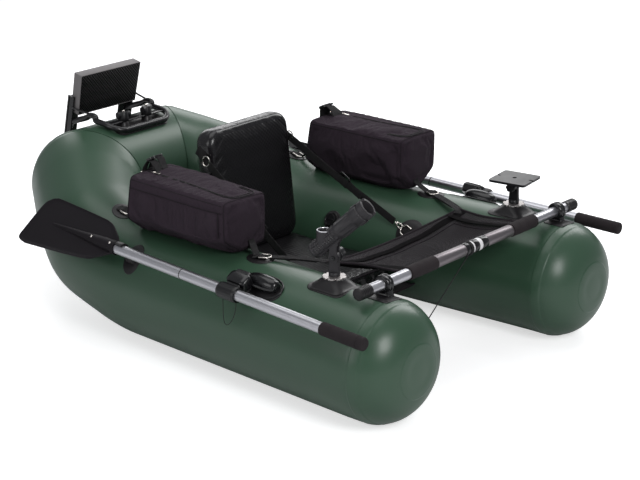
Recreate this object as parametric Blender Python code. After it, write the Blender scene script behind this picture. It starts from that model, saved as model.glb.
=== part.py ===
"""Float tube with oars, side bags, backrest, accessory mounts and a stern motor mount.

Metres, +Z up. The open front faces -Y and the origin is on the ground under the middle of
the hull. Places called "aft" are distances behind the front tips, and a side is -1 for the
sitter's right (-X) or +1 for the left (+X).
"""

import math

import bmesh
import bpy
from mathutils import Matrix, Vector

RIGHT = -1
LEFT = 1
SIDE_NAMES = {RIGHT: "right", LEFT: "left"}

# Fits shared by every piece
CLEARANCE = 0.0003
RUNNING_FIT = 0.0004
MERGE_DISTANCE = 0.000001
CUT_OVERRUN = 0.010
BROAD_SIDES = 20
ROUND_SIDES = 16
FINE_SIDES = 12
WIRE_SIDES = 8
ARC_STEPS = 6
SMOOTH_ANGLE = math.radians(35)

# Hull
TUBE_RADIUS = 0.164
FRONT_HALF_SPACING = 0.396
BEND_HALF_SPACING = 0.339
STERN_HALF_WIDTH = 0.177
STERN_LIFT = 0.147
LIFT_POWER = 1.5
NOSE_RADIUS = 0.117
HULL_SIDES = 24
NOSE_STEPS = 5
LIFT_STEPS = 3
BEND_STEPS = 4
CORNER_STEPS = 4
DIAGONAL_SHARES = (0.33, 0.64)
BEND_MARGIN = 0.012
CREST_LEVEL = TUBE_RADIUS * 2

# Places along the legs, each behind the one before
BAG_FRONT_AFT = 0.605
BAG_LENGTH = 0.355
REAR_ANCHOR_RUN = 0.162
BEND_RUN = 0.100
STERN_RUN = 0.223
LIFT_RUN = 0.244
REAR_ANCHOR_AFT = BAG_FRONT_AFT + BAG_LENGTH + REAR_ANCHOR_RUN
BEND_AFT = REAR_ANCHOR_AFT + BEND_RUN
STERN_AFT = BEND_AFT + STERN_RUN
LIFT_START_AFT = BEND_AFT - LIFT_RUN
HULL_LENGTH = STERN_AFT + TUBE_RADIUS

# Glued patches
PATCH_THICKNESS = 0.003
PATCH_DEPTH = 0.040
RING_WIRE = 0.0022
RING_HALF_WIDTH = 0.015
RING_LENGTH = 0.030
TAB_LENGTH = 0.016
TAB_WIDTH = 0.026
TAB_HEIGHT = 0.010

# Seat floor and cushion
FLOOR_DROP = 0.066
FLOOR_LEVEL = TUBE_RADIUS - FLOOR_DROP
FLOOR_THICKNESS = 0.004
FLOOR_FRONT_AFT = 0.500
FLOOR_BACK_MARGIN = 0.152
FLOOR_BACK_AFT = BEND_AFT - FLOOR_BACK_MARGIN
CUSHION_FRONT_MARGIN = 0.035
CUSHION_BACK_MARGIN = 0.070
CUSHION_FRONT_AFT = FLOOR_FRONT_AFT + CUSHION_FRONT_MARGIN
CUSHION_BACK_AFT = FLOOR_BACK_AFT - CUSHION_BACK_MARGIN
CUSHION_SIDE_MARGIN = 0.159
CUSHION_HALF_WIDTH = BEND_HALF_SPACING - CUSHION_SIDE_MARGIN
CUSHION_THICKNESS = 0.078
CUSHION_CROWN = 0.006
CUSHION_CORNER = 0.050
CUSHION_CORNER_STEPS = 5
# Shares of the corner drawn in, of the thickness and of the crown, from the bottom up
CUSHION_SECTION_SHARES = (
    (0.22, 0.0, 0.0), (0.05, 0.12, 0.0), (0.0, 0.42, 0.0), (0.0, 0.62, 0.0), (0.16, 0.86, 0.0),
    (1.0, 0.97, 0.7), (2.2, 1.0, 1.0),
)

# Backrest
BACK_WIDTH = 0.334
BACK_HEIGHT = 0.376
BACK_DEPTH = 0.072
BACK_CORNER = 0.045
BACK_BEVEL = 0.030
BACK_CROWN = 0.004
BACK_RECLINE = math.radians(7)
BACK_FOOT_MARGIN = 0.111
BACK_FOOT_AFT = CUSHION_BACK_AFT - BACK_FOOT_MARGIN
BACK_SETTLE_SHARE = 1.06
# Shares of the bevel drawn in, of the depth and of the crown, from the back to the front
BACK_SECTION_SHARES = (
    (0.85, 1.0, 1.0), (0.35, 0.93, 1.0), (0.05, 0.76, 1.0), (0.0, 0.55, 1.0), (0.0, 0.24, 1.0),
    (0.14, 0.09, 1.0), (0.50, 0.0, 1.0), (3.0, 0.0, 0.0),
)

# Backrest straps
STRAP_WIDTH = 0.024
STRAP_THICKNESS = 0.002
STRAP_HEIGHT_SHARE = 0.84
STRAP_DEPTH_SHARE = 0.60
ANCHOR_AFT = 0.527
ANCHOR_LEAN = math.radians(-60)
ANCHOR_RADIUS = 0.045
HOOK_LENGTH = 0.030
HOOK_WIRE = 0.0035

# Valves
VALVE_AFT = 0.801
VALVE_LEAN = math.radians(-65)
VALVE_RADIUS = 0.024
VALVE_RISE = 0.006
CAP_RADIUS = 0.0185
CAP_RISE = 0.008

# Side bags and their anchors
BAG_REAR_LEAN = 0.030
BAG_WIDTH = 0.166
BAG_INSET = 0.022
BAG_MIDDLE_X = FRONT_HALF_SPACING - BAG_INSET
BAG_HEIGHT = 0.170
BAG_TOP = CREST_LEVEL + BAG_HEIGHT
BAG_SAG = 0.004
BAG_ROUNDING = 0.010
# Shares of the half width and of the height, up one side
BAG_SECTION_SHARES = (
    (0.20, 0.0), (0.66, 0.15), (0.90, 0.25), (0.985, 0.36), (1.0, 0.62), (0.995, 0.955), (0.95, 0.99), (0.88, 1.0),
)
PULL_LENGTH = 0.030
PULL_WIDTH = 0.010
PULL_THICKNESS = 0.0025
PULL_INSET = 0.035
FRONT_ANCHOR_RUN = 0.049
FRONT_ANCHOR_AFT = BAG_FRONT_AFT - FRONT_ANCHOR_RUN
FRONT_ANCHOR_LEAN = math.radians(-1)
REAR_ANCHOR_LEAN = math.radians(8)
BAG_PATCH_HALF_LENGTH = 0.042
BAG_PATCH_HALF_WIDTH = 0.033

# Crossbar and what is on it
BAR_AFT = 0.142
BAR_RISE = 0.027
BAR_LEVEL = CREST_LEVEL + BAR_RISE
BAR_SHIFT = 0.0135
BAR_OVERHANG = 0.0865
BAR_HALF_LENGTH = FRONT_HALF_SPACING + BAR_OVERHANG
BAR_RADIUS = 0.0145
BAR_WALL = 0.0015
SLEEVE_RADIUS = 0.0165
COLLAR_RADIUS = 0.0178
COLLAR_HALF_WIDTH = 0.030
FOAM_RADIUS = 0.0188
FOAM_INNER_OFFSET = 0.170
FOAM_LENGTH = 0.112
END_CAP_RADIUS = 0.0168
END_CAP_LENGTH = 0.046
END_CAP_LIP = 0.004
LOOP_INSET = 0.009
LOOP_HALF_SPACING = FRONT_HALF_SPACING - LOOP_INSET
LOOP_SHIFT = 0.024
LOOP_OUTER_RADIUS = 0.0248
LOOP_WIDTH = 0.020
LOOP_FOOT_LENGTH = 0.044
LOOP_PATCH_HALF = 0.034
LOOP_PATCH_CORNER = 0.010
LOOP_PATCH_AFT = 0.128

# Apron
APRON_THICKNESS = 0.003
APRON_BACK_AFT = 0.395
APRON_BACK_INSET = 0.103
APRON_BACK_HALF_WIDTH = FRONT_HALF_SPACING - APRON_BACK_INSET
APRON_BACK_RISE = 0.007
APRON_BACK_LEVEL = CREST_LEVEL + APRON_BACK_RISE
APRON_FRONT_INSET = 0.134
APRON_FRONT_HALF_WIDTH = FRONT_HALF_SPACING - APRON_FRONT_INSET
APRON_RIM_SWEEP = 0.053
APRON_RIM_SAG = 0.045
APRON_BELLY = 0.045
APRON_ACROSS = 14
APRON_ALONG = 7
APRON_TAB_WIDTH = 0.026

# Accessory pads and star plates
PAD_AFT = 0.278
PAD_X = FRONT_HALF_SPACING
PAD_HALF_LENGTH = 0.062
PAD_HALF_WIDTH = 0.052
PAD_CORNER = 0.022
PAD_TOP_RISE = 0.021
PAD_TOP_LEVEL = CREST_LEVEL + PAD_TOP_RISE
PAD_TOP_RADIUS = 0.030
PAD_FOOT_RADIUS = 0.042
STAR_RADIUS = 0.031
STAR_NOTCH_RADIUS = 0.026
STAR_TEETH = 8
STAR_THICKNESS = 0.004

# Rod holder
POST_RADIUS = 0.022
POST_BASE_HEIGHT = 0.010
POST_EYE_HEIGHT = 0.050
POST_EYE_RADIUS = 0.015
POST_THICKNESS = 0.012
POST_WIDTH = 0.026
ROD_HEADING = math.radians(18.5)
ROD_ELEVATION = math.radians(43)
ROD_TUBE_LENGTH = 0.205
ROD_HANDLE_RADIUS = 0.0215
ROD_TUBE_RADIUS = 0.0245
ROD_HEAD_RADIUS = 0.0285
ROD_TUBE_BORE = 0.0180
ROD_TUBE_SIDES = 8
ROD_TUBE_RISE = 0.060
ROD_FORE_SHARE = 0.60
ROD_SECTION_SHARES = (0.46, 0.50, 0.76, 0.80)
LUG_THICKNESS = 0.006
LUG_WIDTH = 0.026
PIVOT_RADIUS = 0.004
KNOB_RADIUS = 0.014
KNOB_LENGTH = 0.018
KNOB_LOBES = 6
KNOB_LOBE_DEPTH = 0.0018
KNOB_SECTION_SHARES = ((0.92, 0.0), (1.0, 0.12), (1.0, 0.80), (0.86, 1.0))

# Finder mount
FINDER_EYE_HEIGHT = 0.052
FINDER_TWIST = math.radians(8.5)
FINDER_PLATE_LENGTH = 0.113
FINDER_PLATE_WIDTH = 0.110
FINDER_PLATE_THICKNESS = 0.007
FINDER_PLATE_RISE = 0.016
FINDER_PLATE_CORNER = 0.008
FINDER_SLOT_WIDTH = 0.007
FINDER_SLOT_DEPTH = 0.012
FINDER_HOLE_RADIUS = 0.006

# Oars
OAR_STANDOFF = 0.0507
OAR_LEAN = math.radians(56)
GRIP_END_X = FRONT_HALF_SPACING + (TUBE_RADIUS + OAR_STANDOFF) * math.sin(OAR_LEAN)
GRIP_END_LEVEL = TUBE_RADIUS + (TUBE_RADIUS + OAR_STANDOFF) * math.cos(OAR_LEAN)
GRIP_END_AFT = 0.032
OAR_INWARD_SLOPE = (FRONT_HALF_SPACING - BEND_HALF_SPACING) / (BEND_AFT - TUBE_RADIUS)
OAR_RISE_SLOPE = 0.026
SHAFT_RADIUS = 0.015
GRIP_RADIUS = 0.0175
GRIP_LENGTH = 0.141
GRIP_END_WALL = 0.006
OAR_LENGTH = 1.276
BLADE_LENGTH = 0.361
BLADE_START = OAR_LENGTH - BLADE_LENGTH
BLADE_HALF_WIDTH = 0.083
BLADE_THICKNESS = 0.005
BLADE_TILT = math.radians(37)
SOCKET_RADIUS = 0.0195
SOCKET_LENGTH = 0.055
RIB_END_SHARE = 0.76
RIB_TIP_RADIUS = 0.0035
# Shares of the blade's length and of its half width, round its edge
BLADE_OUTLINE_SHARES = (
    (0.00, -0.18), (0.02, -0.26), (0.12, -0.56), (0.23, -0.80), (0.40, -0.87), (0.84, -0.95),
    (0.92, -0.92), (0.96, -0.80), (1.00, 0.62), (1.00, 0.80), (0.97, 0.96), (0.91, 1.02),
    (0.82, 1.01), (0.26, 0.78), (0.12, 0.54), (0.02, 0.26), (0.00, 0.18),
)

# Oarlocks and rear clips
PIN_TILT = math.radians(34)
LOCK_AFT = 0.503
PIN_TO_SHAFT = 0.048
PIN_RADIUS = 0.006
PIN_HEAD_RADIUS = 0.011
PIN_HEAD_HEIGHT = 0.004
LOCK_HALF_LENGTH = 0.024
LOCK_INNER = 0.024
LOCK_BOTTOM = 0.019
LOCK_TOP = 0.008
LOCK_SLEEVE_RADIUS = 0.0215
LOCK_SLEEVE_HALF_LENGTH = 0.032
LOCK_ROUNDING = 0.004
BOSS_RADIUS = 0.015
BOSS_DEPTH = 0.050
LOCK_PAD_AFT = 0.478
LOCK_PAD_LEAN = math.radians(36)
LOCK_PAD_HALF_LENGTH = 0.092
LOCK_PAD_HALF_WIDTH = 0.042
CAPSULE_RADIUS = 0.023
CAPSULE_FRONT_AFT = 0.402
CAPSULE_BACK_AFT = 0.468
CAPSULE_RISE = 0.010
CAPSULE_SECTION_SHARES = (
    (0.45, -1.0), (0.80, -0.88), (0.97, -0.66), (1.0, -0.4),
    (1.0, 0.4), (0.97, 0.66), (0.80, 0.88), (0.45, 1.0),
)
CLIP_AFT = 0.930
CLIP_LEAN = math.radians(50)
CLIP_PATCH_HALF_LENGTH = 0.031
CLIP_PATCH_HALF_WIDTH = 0.046
CLIP_HALF_WIDTH = 0.012
CLIP_WALL = 0.005
CLIP_REACH = math.radians(88)
CLIP_STEPS = 10
CLIP_POST_HALF = 0.009
CLIP_POST_LENGTH = 0.060

# Stern mount
STERN_PAD_HALF_LENGTH = 0.104
STERN_PAD_HALF_WIDTH = 0.050
STERN_PAD_RUN = 0.033
STERN_PAD_AFT = STERN_AFT - STERN_PAD_RUN
STUD_SPACING = 0.096
STUD_RUN = 0.034
STUD_AFT = STERN_AFT - STUD_RUN
STUD_RADIUS = 0.004
STUD_BOSS_RADIUS = 0.014
STUD_BOSS_TOP = 0.006
FRAME_RADIUS = 0.009
FRAME_HALF_WIDTH = 0.118
FRAME_FRONT_RUN = 0.079
FRAME_FRONT_AFT = STERN_AFT - FRAME_FRONT_RUN
FRAME_CORNER = 0.046
FRAME_RIDE = 0.0140
STERN_CREST_LEVEL = CREST_LEVEL + STERN_LIFT
FRAME_ARCH_RUN = 0.034
FRAME_ARCH_AFT = STERN_AFT + FRAME_ARCH_RUN
FRAME_ARCH_RISE = 0.028
FRAME_ARCH_LEVEL = STERN_CREST_LEVEL + FRAME_ARCH_RISE
FRAME_FOOT_DROP = 0.023
FRAME_FOOT_LEVEL = STERN_CREST_LEVEL - FRAME_FOOT_DROP
CROSS_PLATE_WIDTH = 0.022
CROSS_PLATE_THICKNESS = 0.004
CLAMP_KNOB_RADIUS = 0.022
CLAMP_KNOB_HEIGHT = 0.026
BOARD_TILT = math.radians(12)
BOARD_RUN = 0.075
BOARD_AFT = STERN_AFT + BOARD_RUN
BOARD_RISE = 0.083
BOARD_LEVEL = STERN_CREST_LEVEL + BOARD_RISE
BOARD_HEIGHT = 0.130
BOARD_TOP_HALF_WIDTH = 0.1235
BOARD_BOTTOM_HALF_WIDTH = 0.1195
BOARD_THICKNESS = 0.034
UPRIGHT_THICKNESS = 0.005
UPRIGHT_OUTER_X = BOARD_TOP_HALF_WIDTH + CLEARANCE + UPRIGHT_THICKNESS
UPRIGHT_WIDTH = 0.043
UPRIGHT_TOP = -0.012
UPRIGHT_LENGTH = 0.140
CHEEK_FRONT_DEPTH = 0.019
CHEEK_BACK_DEPTH = 0.045
CHEEK_FRONT_CUT = 0.026
STAY_RADIUS = 0.003
STAY_HEIGHT = -0.045
STAY_DEPTH = 0.024

# Cords
BAR_CORD_RADIUS = 0.0015
BAR_CORD_X = -0.010
BAR_KNOT_RADIUS = 0.003
BAR_KNOT_DROP = 0.0225
BAR_KNOT_REACH = 0.007
EYELET_AFT = 0.118
EYELET_LEAN = math.radians(-78)
EYELET_RADIUS = 0.014
EYELET_RISE = 0.006
EYELET_PATCH_RADIUS = 0.024
TETHER_RADIUS = 0.001
TETHER_HALF_SPREAD = 0.0245
TETHER_DROP = 0.065
TETHER_LEAN = 0.012
TETHER_STEPS = 28
BAR_CORD_STEPS = 32
CORD_RESOLUTION = 2


# Placing

def at(x, aft, level):
    """A point from its offset across, its distance behind the front tips and its level."""
    return Vector((x, aft - HULL_LENGTH / 2, level))


def frame(origin, along, normal):
    """A placement whose local X follows along, and whose local Z follows normal."""
    z_axis = normal.normalized()
    x_axis = (along - z_axis * along.dot(z_axis)).normalized()
    y_axis = z_axis.cross(x_axis)
    placement = Matrix((x_axis, y_axis, z_axis)).transposed().to_4x4()
    placement.translation = origin
    return placement


def clamp_share(value):
    return min(max(value, 0), 1)


def leg_spacing(aft):
    share = clamp_share((aft - TUBE_RADIUS) / (BEND_AFT - TUBE_RADIUS))
    return FRONT_HALF_SPACING + (BEND_HALF_SPACING - FRONT_HALF_SPACING) * share


def lift_share(aft):
    return clamp_share((aft - LIFT_START_AFT) / (STERN_AFT - LIFT_START_AFT))


def hull_level(aft):
    return TUBE_RADIUS + STERN_LIFT * lift_share(aft) ** LIFT_POWER


def hull_slope(aft):
    run = STERN_AFT - LIFT_START_AFT
    return STERN_LIFT * LIFT_POWER * lift_share(aft) ** (LIFT_POWER - 1) / run


def hull_frame(side, aft, lean):
    """On a pontoon's skin: X along it, Z out of it; lean is outboard from the crest."""
    pitch = math.atan(hull_slope(aft))
    along = Vector((0, math.cos(pitch), math.sin(pitch)))
    crest = Vector((0, -math.sin(pitch), math.cos(pitch)))
    outboard = Vector((side, 0, 0))
    normal = outboard * math.sin(lean) + crest * math.cos(lean)
    centre = at(side * leg_spacing(aft), aft, hull_level(aft))
    return frame(centre + normal * TUBE_RADIUS, along, normal)


# Shapes, each a list of vertices and a list of faces

def lofted(rings, closed=False):
    """Skin over rings of equally many points; the ends are capped unless it is closed."""
    count = len(rings[0])
    verts = [point for ring in rings for point in ring]
    faces = []
    last = len(rings) if closed else len(rings) - 1
    for row in range(last):
        here = row * count
        there = (row + 1) % len(rings) * count
        for step in range(count):
            after = (step + 1) % count
            faces.append((here + step, here + after, there + after, there + step))
    if not closed:
        faces.append(tuple(range(count)))
        faces.append(tuple(range(len(verts) - count, len(verts))))
    return verts, faces


def prism(outline, placement, low, high):
    """An outline in the local XY plane, extruded along local Z."""
    rings = [[placement @ Vector((u, v, height)) for u, v in outline] for height in (low, high)]
    return lofted(rings)


def turned(profile, placement, sides=ROUND_SIDES, bored=False):
    """A profile of (radius, height) turned about local Z; bored closes it on itself."""
    rings = []
    for radius, height in profile:
        corner = radius / math.cos(math.pi / sides)
        angles = [2 * math.pi * (step + 0.5) / sides for step in range(sides)]
        rings.append([
            placement @ Vector((corner * math.cos(angle), corner * math.sin(angle), height))
            for angle in angles
        ])
    return lofted(rings, closed=bored)


def swept(points, radius, sides=FINE_SIDES, closed=False):
    """A round wire along points."""
    count = len(points)
    rings = []
    side = None
    for index, point in enumerate(points):
        before = points[index - 1] if index or closed else point
        after = points[(index + 1) % count] if index < count - 1 or closed else point
        tangent = (after - before).normalized()
        if side is None:
            side = tangent.orthogonal().normalized()
        side = (side - tangent * side.dot(tangent)).normalized()
        other = tangent.cross(side)
        rings.append([
            point + (side * math.cos(angle) + other * math.sin(angle)) * radius
            for angle in (2 * math.pi * step / sides for step in range(sides))
        ])
    return lofted(rings, closed=closed)


def oval(half_length, half_width, count=BROAD_SIDES):
    angles = [2 * math.pi * step / count for step in range(count)]
    return [(half_length * math.cos(angle), half_width * math.sin(angle)) for angle in angles]


def rounded(half_length, half_width, corner, steps=3):
    """A rectangle with round corners."""
    outline = []
    quarters = ((1, 1), (-1, 1), (-1, -1), (1, -1))
    for number, (along, across) in enumerate(quarters):
        for step in range(steps + 1):
            angle = math.pi / 2 * (number + step / steps)
            u = along * (half_length - corner) + corner * math.cos(angle)
            v = across * (half_width - corner) + corner * math.sin(angle)
            outline.append((u, v))
    return outline


def lobed(radius, depth, lobes, steps=4):
    """A knob's outline, waved in and out once for each lobe."""
    count = lobes * steps
    outline = []
    for step in range(count):
        angle = 2 * math.pi * step / count
        reach = radius - depth / 2 * (1 - math.cos(lobes * angle))
        outline.append((reach * math.cos(angle), reach * math.sin(angle)))
    return outline


def inset(outline, amount):
    """An outline drawn in by an amount on each side, about its middle."""
    half_u = max(u for u, v in outline)
    half_v = max(v for u, v in outline)
    scale_u = (half_u - amount) / half_u
    scale_v = (half_v - amount) / half_v
    return [(u * scale_u, v * scale_v) for u, v in outline]


# Objects

def surface(name, colour, roughness, metallic=0.0):
    material = bpy.data.materials.new(name)
    material.use_nodes = True
    shader = material.node_tree.nodes["Principled BSDF"]
    shader.inputs["Base Color"].default_value = (*colour, 1.0)
    shader.inputs["Roughness"].default_value = roughness
    shader.inputs["Metallic"].default_value = metallic
    return material


def solid(name, material, shape):
    """An object from a shape, its faces turned outwards; without a material it is a guide."""
    verts, faces = shape
    mesh = bpy.data.meshes.new(name)
    mesh.from_pydata([tuple(vert) for vert in verts], [], faces)
    work = bmesh.new()
    work.from_mesh(mesh)
    bmesh.ops.remove_doubles(work, verts=work.verts, dist=MERGE_DISTANCE)
    bmesh.ops.recalc_face_normals(work, faces=work.faces)
    work.to_mesh(mesh)
    work.free()
    mesh.shade_smooth()
    mesh.set_sharp_from_angle(angle=SMOOTH_ANGLE)
    obj = bpy.data.objects.new(name, mesh)
    bpy.context.collection.objects.link(obj)
    if material is None:
        obj.hide_render = True
        obj.display_type = "WIRE"
    else:
        mesh.materials.append(material)
    return obj


def combine(target, operation, other):
    modifier = target.modifiers.new(operation.lower(), "BOOLEAN")
    modifier.operation = operation
    modifier.solver = "EXACT"
    modifier.object = other


def guide(target, shape):
    number = len(target.modifiers)
    return solid(f"{target.name}_guide_{number}", None, shape)


def fuse(target, *shapes):
    for shape in shapes:
        combine(target, "UNION", guide(target, shape))


def cut(target, *shapes):
    for shape in shapes:
        combine(target, "DIFFERENCE", guide(target, shape))


def soften(target, width):
    modifier = target.modifiers.new("edges", "BEVEL")
    modifier.width = width
    modifier.segments = 1
    modifier.limit_method = "ANGLE"


def pivot(name, point, axis, *pieces, carrier=None):
    """An empty whose local Z lies on a joint's axis, and which carries what moves there."""
    placement = frame(point, axis.orthogonal(), axis)
    empty = bpy.data.objects.new(name, None)
    bpy.context.collection.objects.link(empty)
    empty.matrix_world = placement
    if carrier is not None:
        empty.parent = carrier
        empty.matrix_parent_inverse = carrier.matrix_world.inverted()
    for piece in pieces:
        piece.parent = empty
        piece.matrix_parent_inverse = placement.inverted()
    return empty


# Hull

def hull_ring(centre, heading, pitch, radius, crease=None):
    """An upright cross-section facing heading, which turns inboard from straight aft.

    In a bend the inner half of the ring lies on the crease, given as (heading, turn).
    """
    corner = radius / math.cos(math.pi / HULL_SIDES)
    points = []
    for step in range(HULL_SIDES):
        angle = 2 * math.pi * (step + 0.5) / HULL_SIDES
        direction = heading
        reach = corner * math.cos(angle)
        if crease is not None and reach < 0:
            direction = crease[0]
            reach = reach / math.cos(crease[1] / 2)
        rise = corner * math.sin(angle) / math.cos(pitch)
        points.append(centre + Vector((reach * math.cos(direction), reach * math.sin(direction), rise)))
    return points


def diagonal_heading():
    return math.atan2(BEND_HALF_SPACING - STERN_HALF_WIDTH, STERN_AFT - BEND_AFT)


def corner_rings(offset, first_share, last_share, radius):
    """Rings round the left stern corner, whose centre is moved off the seam by offset."""
    diagonal = diagonal_heading()
    turn = math.pi / 2 - diagonal
    seam = diagonal + turn / 2
    centre = at(STERN_HALF_WIDTH, STERN_AFT, hull_level(STERN_AFT))
    centre += Vector((-math.sin(seam), math.cos(seam), 0)) * offset
    rings = []
    for step in range(CORNER_STEPS + 1):
        share = first_share + (last_share - first_share) * step / CORNER_STEPS
        heading = diagonal + turn * share
        rings.append(hull_ring(centre, heading, 0, radius, (seam, turn)))
    return rings


def mirrored(rings):
    return [[Vector((-point.x, point.y, point.z)) for point in ring] for ring in rings]


def pontoon_rings(side, grow):
    radius = TUBE_RADIUS + grow
    rings = []
    for step in range(NOSE_STEPS + 1):
        angle = math.pi / 2 * step / NOSE_STEPS
        nose = NOSE_RADIUS + grow
        aft = NOSE_RADIUS - nose * math.cos(angle)
        reach = TUBE_RADIUS - NOSE_RADIUS + nose * math.sin(angle)
        rings.append(hull_ring(at(leg_spacing(aft), aft, TUBE_RADIUS), 0, 0, reach))
    diagonal = diagonal_heading()
    bend_share = lift_share(BEND_AFT - BEND_MARGIN - TUBE_RADIUS * math.tan(diagonal / 2))
    for step in range(LIFT_STEPS + 1):
        aft = LIFT_START_AFT + (STERN_AFT - LIFT_START_AFT) * bend_share * step / LIFT_STEPS
        centre = at(leg_spacing(aft), aft, hull_level(aft))
        rings.append(hull_ring(centre, 0, math.atan(hull_slope(aft)), radius))
    centre = at(BEND_HALF_SPACING, BEND_AFT, hull_level(BEND_AFT))
    pitch = math.atan(hull_slope(BEND_AFT) * math.cos(diagonal / 2))
    for step in range(BEND_STEPS + 1):
        heading = diagonal * step / BEND_STEPS
        rings.append(hull_ring(centre, heading, pitch, radius, (diagonal / 2, diagonal)))
    for share in DIAGONAL_SHARES:
        aft = BEND_AFT + (STERN_AFT - BEND_AFT) * share
        spacing = BEND_HALF_SPACING + (STERN_HALF_WIDTH - BEND_HALF_SPACING) * share
        pitch = math.atan(hull_slope(aft) * math.cos(diagonal))
        rings.append(hull_ring(at(spacing, aft, hull_level(aft)), diagonal, pitch, radius))
    rings += corner_rings(-CLEARANCE / 2, 0, 0.5, radius)
    return rings if side == LEFT else mirrored(rings)


def stern_rings(grow):
    half = corner_rings(CLEARANCE / 2, 0.5, 1, TUBE_RADIUS + grow)
    return half + mirrored(half)[::-1]


def make_hull(skin):
    for side, name in SIDE_NAMES.items():
        solid(f"{name}_pontoon", skin, lofted(pontoon_rings(side, 0)))
    solid("stern_tube", skin, lofted(stern_rings(0)))


def make_hull_guides():
    """The hull grown by a clearance, and by a patch on top of that."""
    guides = {}
    for side in SIDE_NAMES:
        for label, grow in (("seat", CLEARANCE), ("patch", CLEARANCE + PATCH_THICKNESS)):
            shape = lofted(pontoon_rings(side, grow))
            guides[side, label] = solid(f"hull_{SIDE_NAMES[side]}_{label}_guide", None, shape)
    for label, grow in (("seat", CLEARANCE), ("patch", CLEARANCE + PATCH_THICKNESS)):
        guides["stern", label] = solid(f"hull_stern_{label}_guide", None, lofted(stern_rings(grow)))
    return guides


def glued_patch(name, material, guides, where, placement, outline, *extras):
    """A thin patch that follows the hull's skin, with shapes fused on top of it."""
    obj = solid(name, material, prism(outline, placement, -PATCH_DEPTH, PATCH_DEPTH / 2))
    combine(obj, "INTERSECT", guides[where, "patch"])
    fuse(obj, *extras)
    combine(obj, "DIFFERENCE", guides[where, "seat"])
    return obj


# Rings and tabs on patches

def ring_shapes(placement, direction):
    """A webbing tab and the D-ring it holds, which lies along direction."""
    local = placement.to_3x3()
    normal = local.col[2].normalized()
    along = (direction - normal * direction.dot(normal)).normalized()
    across = normal.cross(along)
    foot = placement.translation
    tab_height = PATCH_THICKNESS + TAB_HEIGHT
    tab = prism(
        rounded(TAB_LENGTH / 2, TAB_WIDTH / 2, RING_WIRE),
        frame(foot, along, normal), 0, tab_height,
    )
    start = foot + normal * (PATCH_THICKNESS + TAB_HEIGHT / 2)
    straight = RING_LENGTH - RING_HALF_WIDTH
    points = [start + across * RING_HALF_WIDTH, start - across * RING_HALF_WIDTH]
    for step in range(WIRE_SIDES + 1):
        angle = math.pi * step / WIRE_SIDES
        reach = along * (straight + RING_HALF_WIDTH * math.sin(angle))
        points.append(start + reach - across * RING_HALF_WIDTH * math.cos(angle))
    return tab, swept(points, RING_WIRE, WIRE_SIDES, closed=True)


# Seat

def make_seat(fabric, foam, guides):
    half_width = leg_spacing(FLOOR_FRONT_AFT)
    middle_aft = (FLOOR_FRONT_AFT + FLOOR_BACK_AFT) / 2
    half_length = (FLOOR_BACK_AFT - FLOOR_FRONT_AFT) / 2
    placement = frame(at(0, middle_aft, FLOOR_LEVEL), Vector((0, 1, 0)), Vector((0, 0, 1)))
    outline = [(half_length, half_width), (-half_length, half_width),
               (-half_length, -half_width), (half_length, -half_width)]
    floor = solid("seat_floor", fabric, prism(outline, placement, 0, FLOOR_THICKNESS))
    for side in SIDE_NAMES:
        combine(floor, "DIFFERENCE", guides[side, "seat"])

    length = CUSHION_BACK_AFT - CUSHION_FRONT_AFT
    bottom = FLOOR_LEVEL + FLOOR_THICKNESS + CLEARANCE
    middle = at(0, (CUSHION_FRONT_AFT + CUSHION_BACK_AFT) / 2, bottom)
    outline = rounded(CUSHION_HALF_WIDTH, length / 2, CUSHION_CORNER, CUSHION_CORNER_STEPS)
    rings = []
    for draw_share, height_share, crown_share in CUSHION_SECTION_SHARES:
        ring = inset(outline, CUSHION_CORNER * draw_share)
        height = CUSHION_THICKNESS * height_share + CUSHION_CROWN * crown_share
        rings.append([middle + Vector((u, v, height)) for u, v in ring])
    solid("seat_cushion", foam, lofted(rings))


# Backrest

def cushion_top():
    return FLOOR_LEVEL + FLOOR_THICKNESS + CLEARANCE + CUSHION_THICKNESS + CUSHION_CROWN


def back_frame():
    """Local X across, local Y up the backrest, local Z out of its front face."""
    hinge = at(0, BACK_FOOT_AFT, cushion_top() + CLEARANCE)
    front = Vector((0, -math.cos(BACK_RECLINE), math.sin(BACK_RECLINE)))
    return frame(hinge, Vector((1, 0, 0)), front)


def back_point(side, height, depth):
    """A point on the backrest's side, up from its foot and back from its front."""
    placement = back_frame()
    return placement @ Vector((side * BACK_WIDTH / 2, height, -depth))


def make_backrest(foam):
    """The backrest settles on the cushion behind its crown, and folds about its front edge."""
    placement = back_frame()
    lift = BACK_DEPTH * math.sin(BACK_RECLINE) - CUSHION_CROWN * BACK_SETTLE_SHARE
    middle = Vector((0, BACK_HEIGHT / 2 + lift, -CLEARANCE))
    outline = rounded(BACK_WIDTH / 2, BACK_HEIGHT / 2, BACK_CORNER, CUSHION_CORNER_STEPS)
    rings = []
    for draw_share, depth_share, crown_share in BACK_SECTION_SHARES:
        ring = inset(outline, BACK_BEVEL * draw_share)
        depth = BACK_DEPTH * depth_share + BACK_CROWN * crown_share
        rings.append([placement @ (middle + Vector((u, v, -depth))) for u, v in ring])
    backrest = solid("backrest", foam, lofted(rings))
    pivot("backrest_fold", placement.translation, Vector((1, 0, 0)), backrest)


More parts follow.
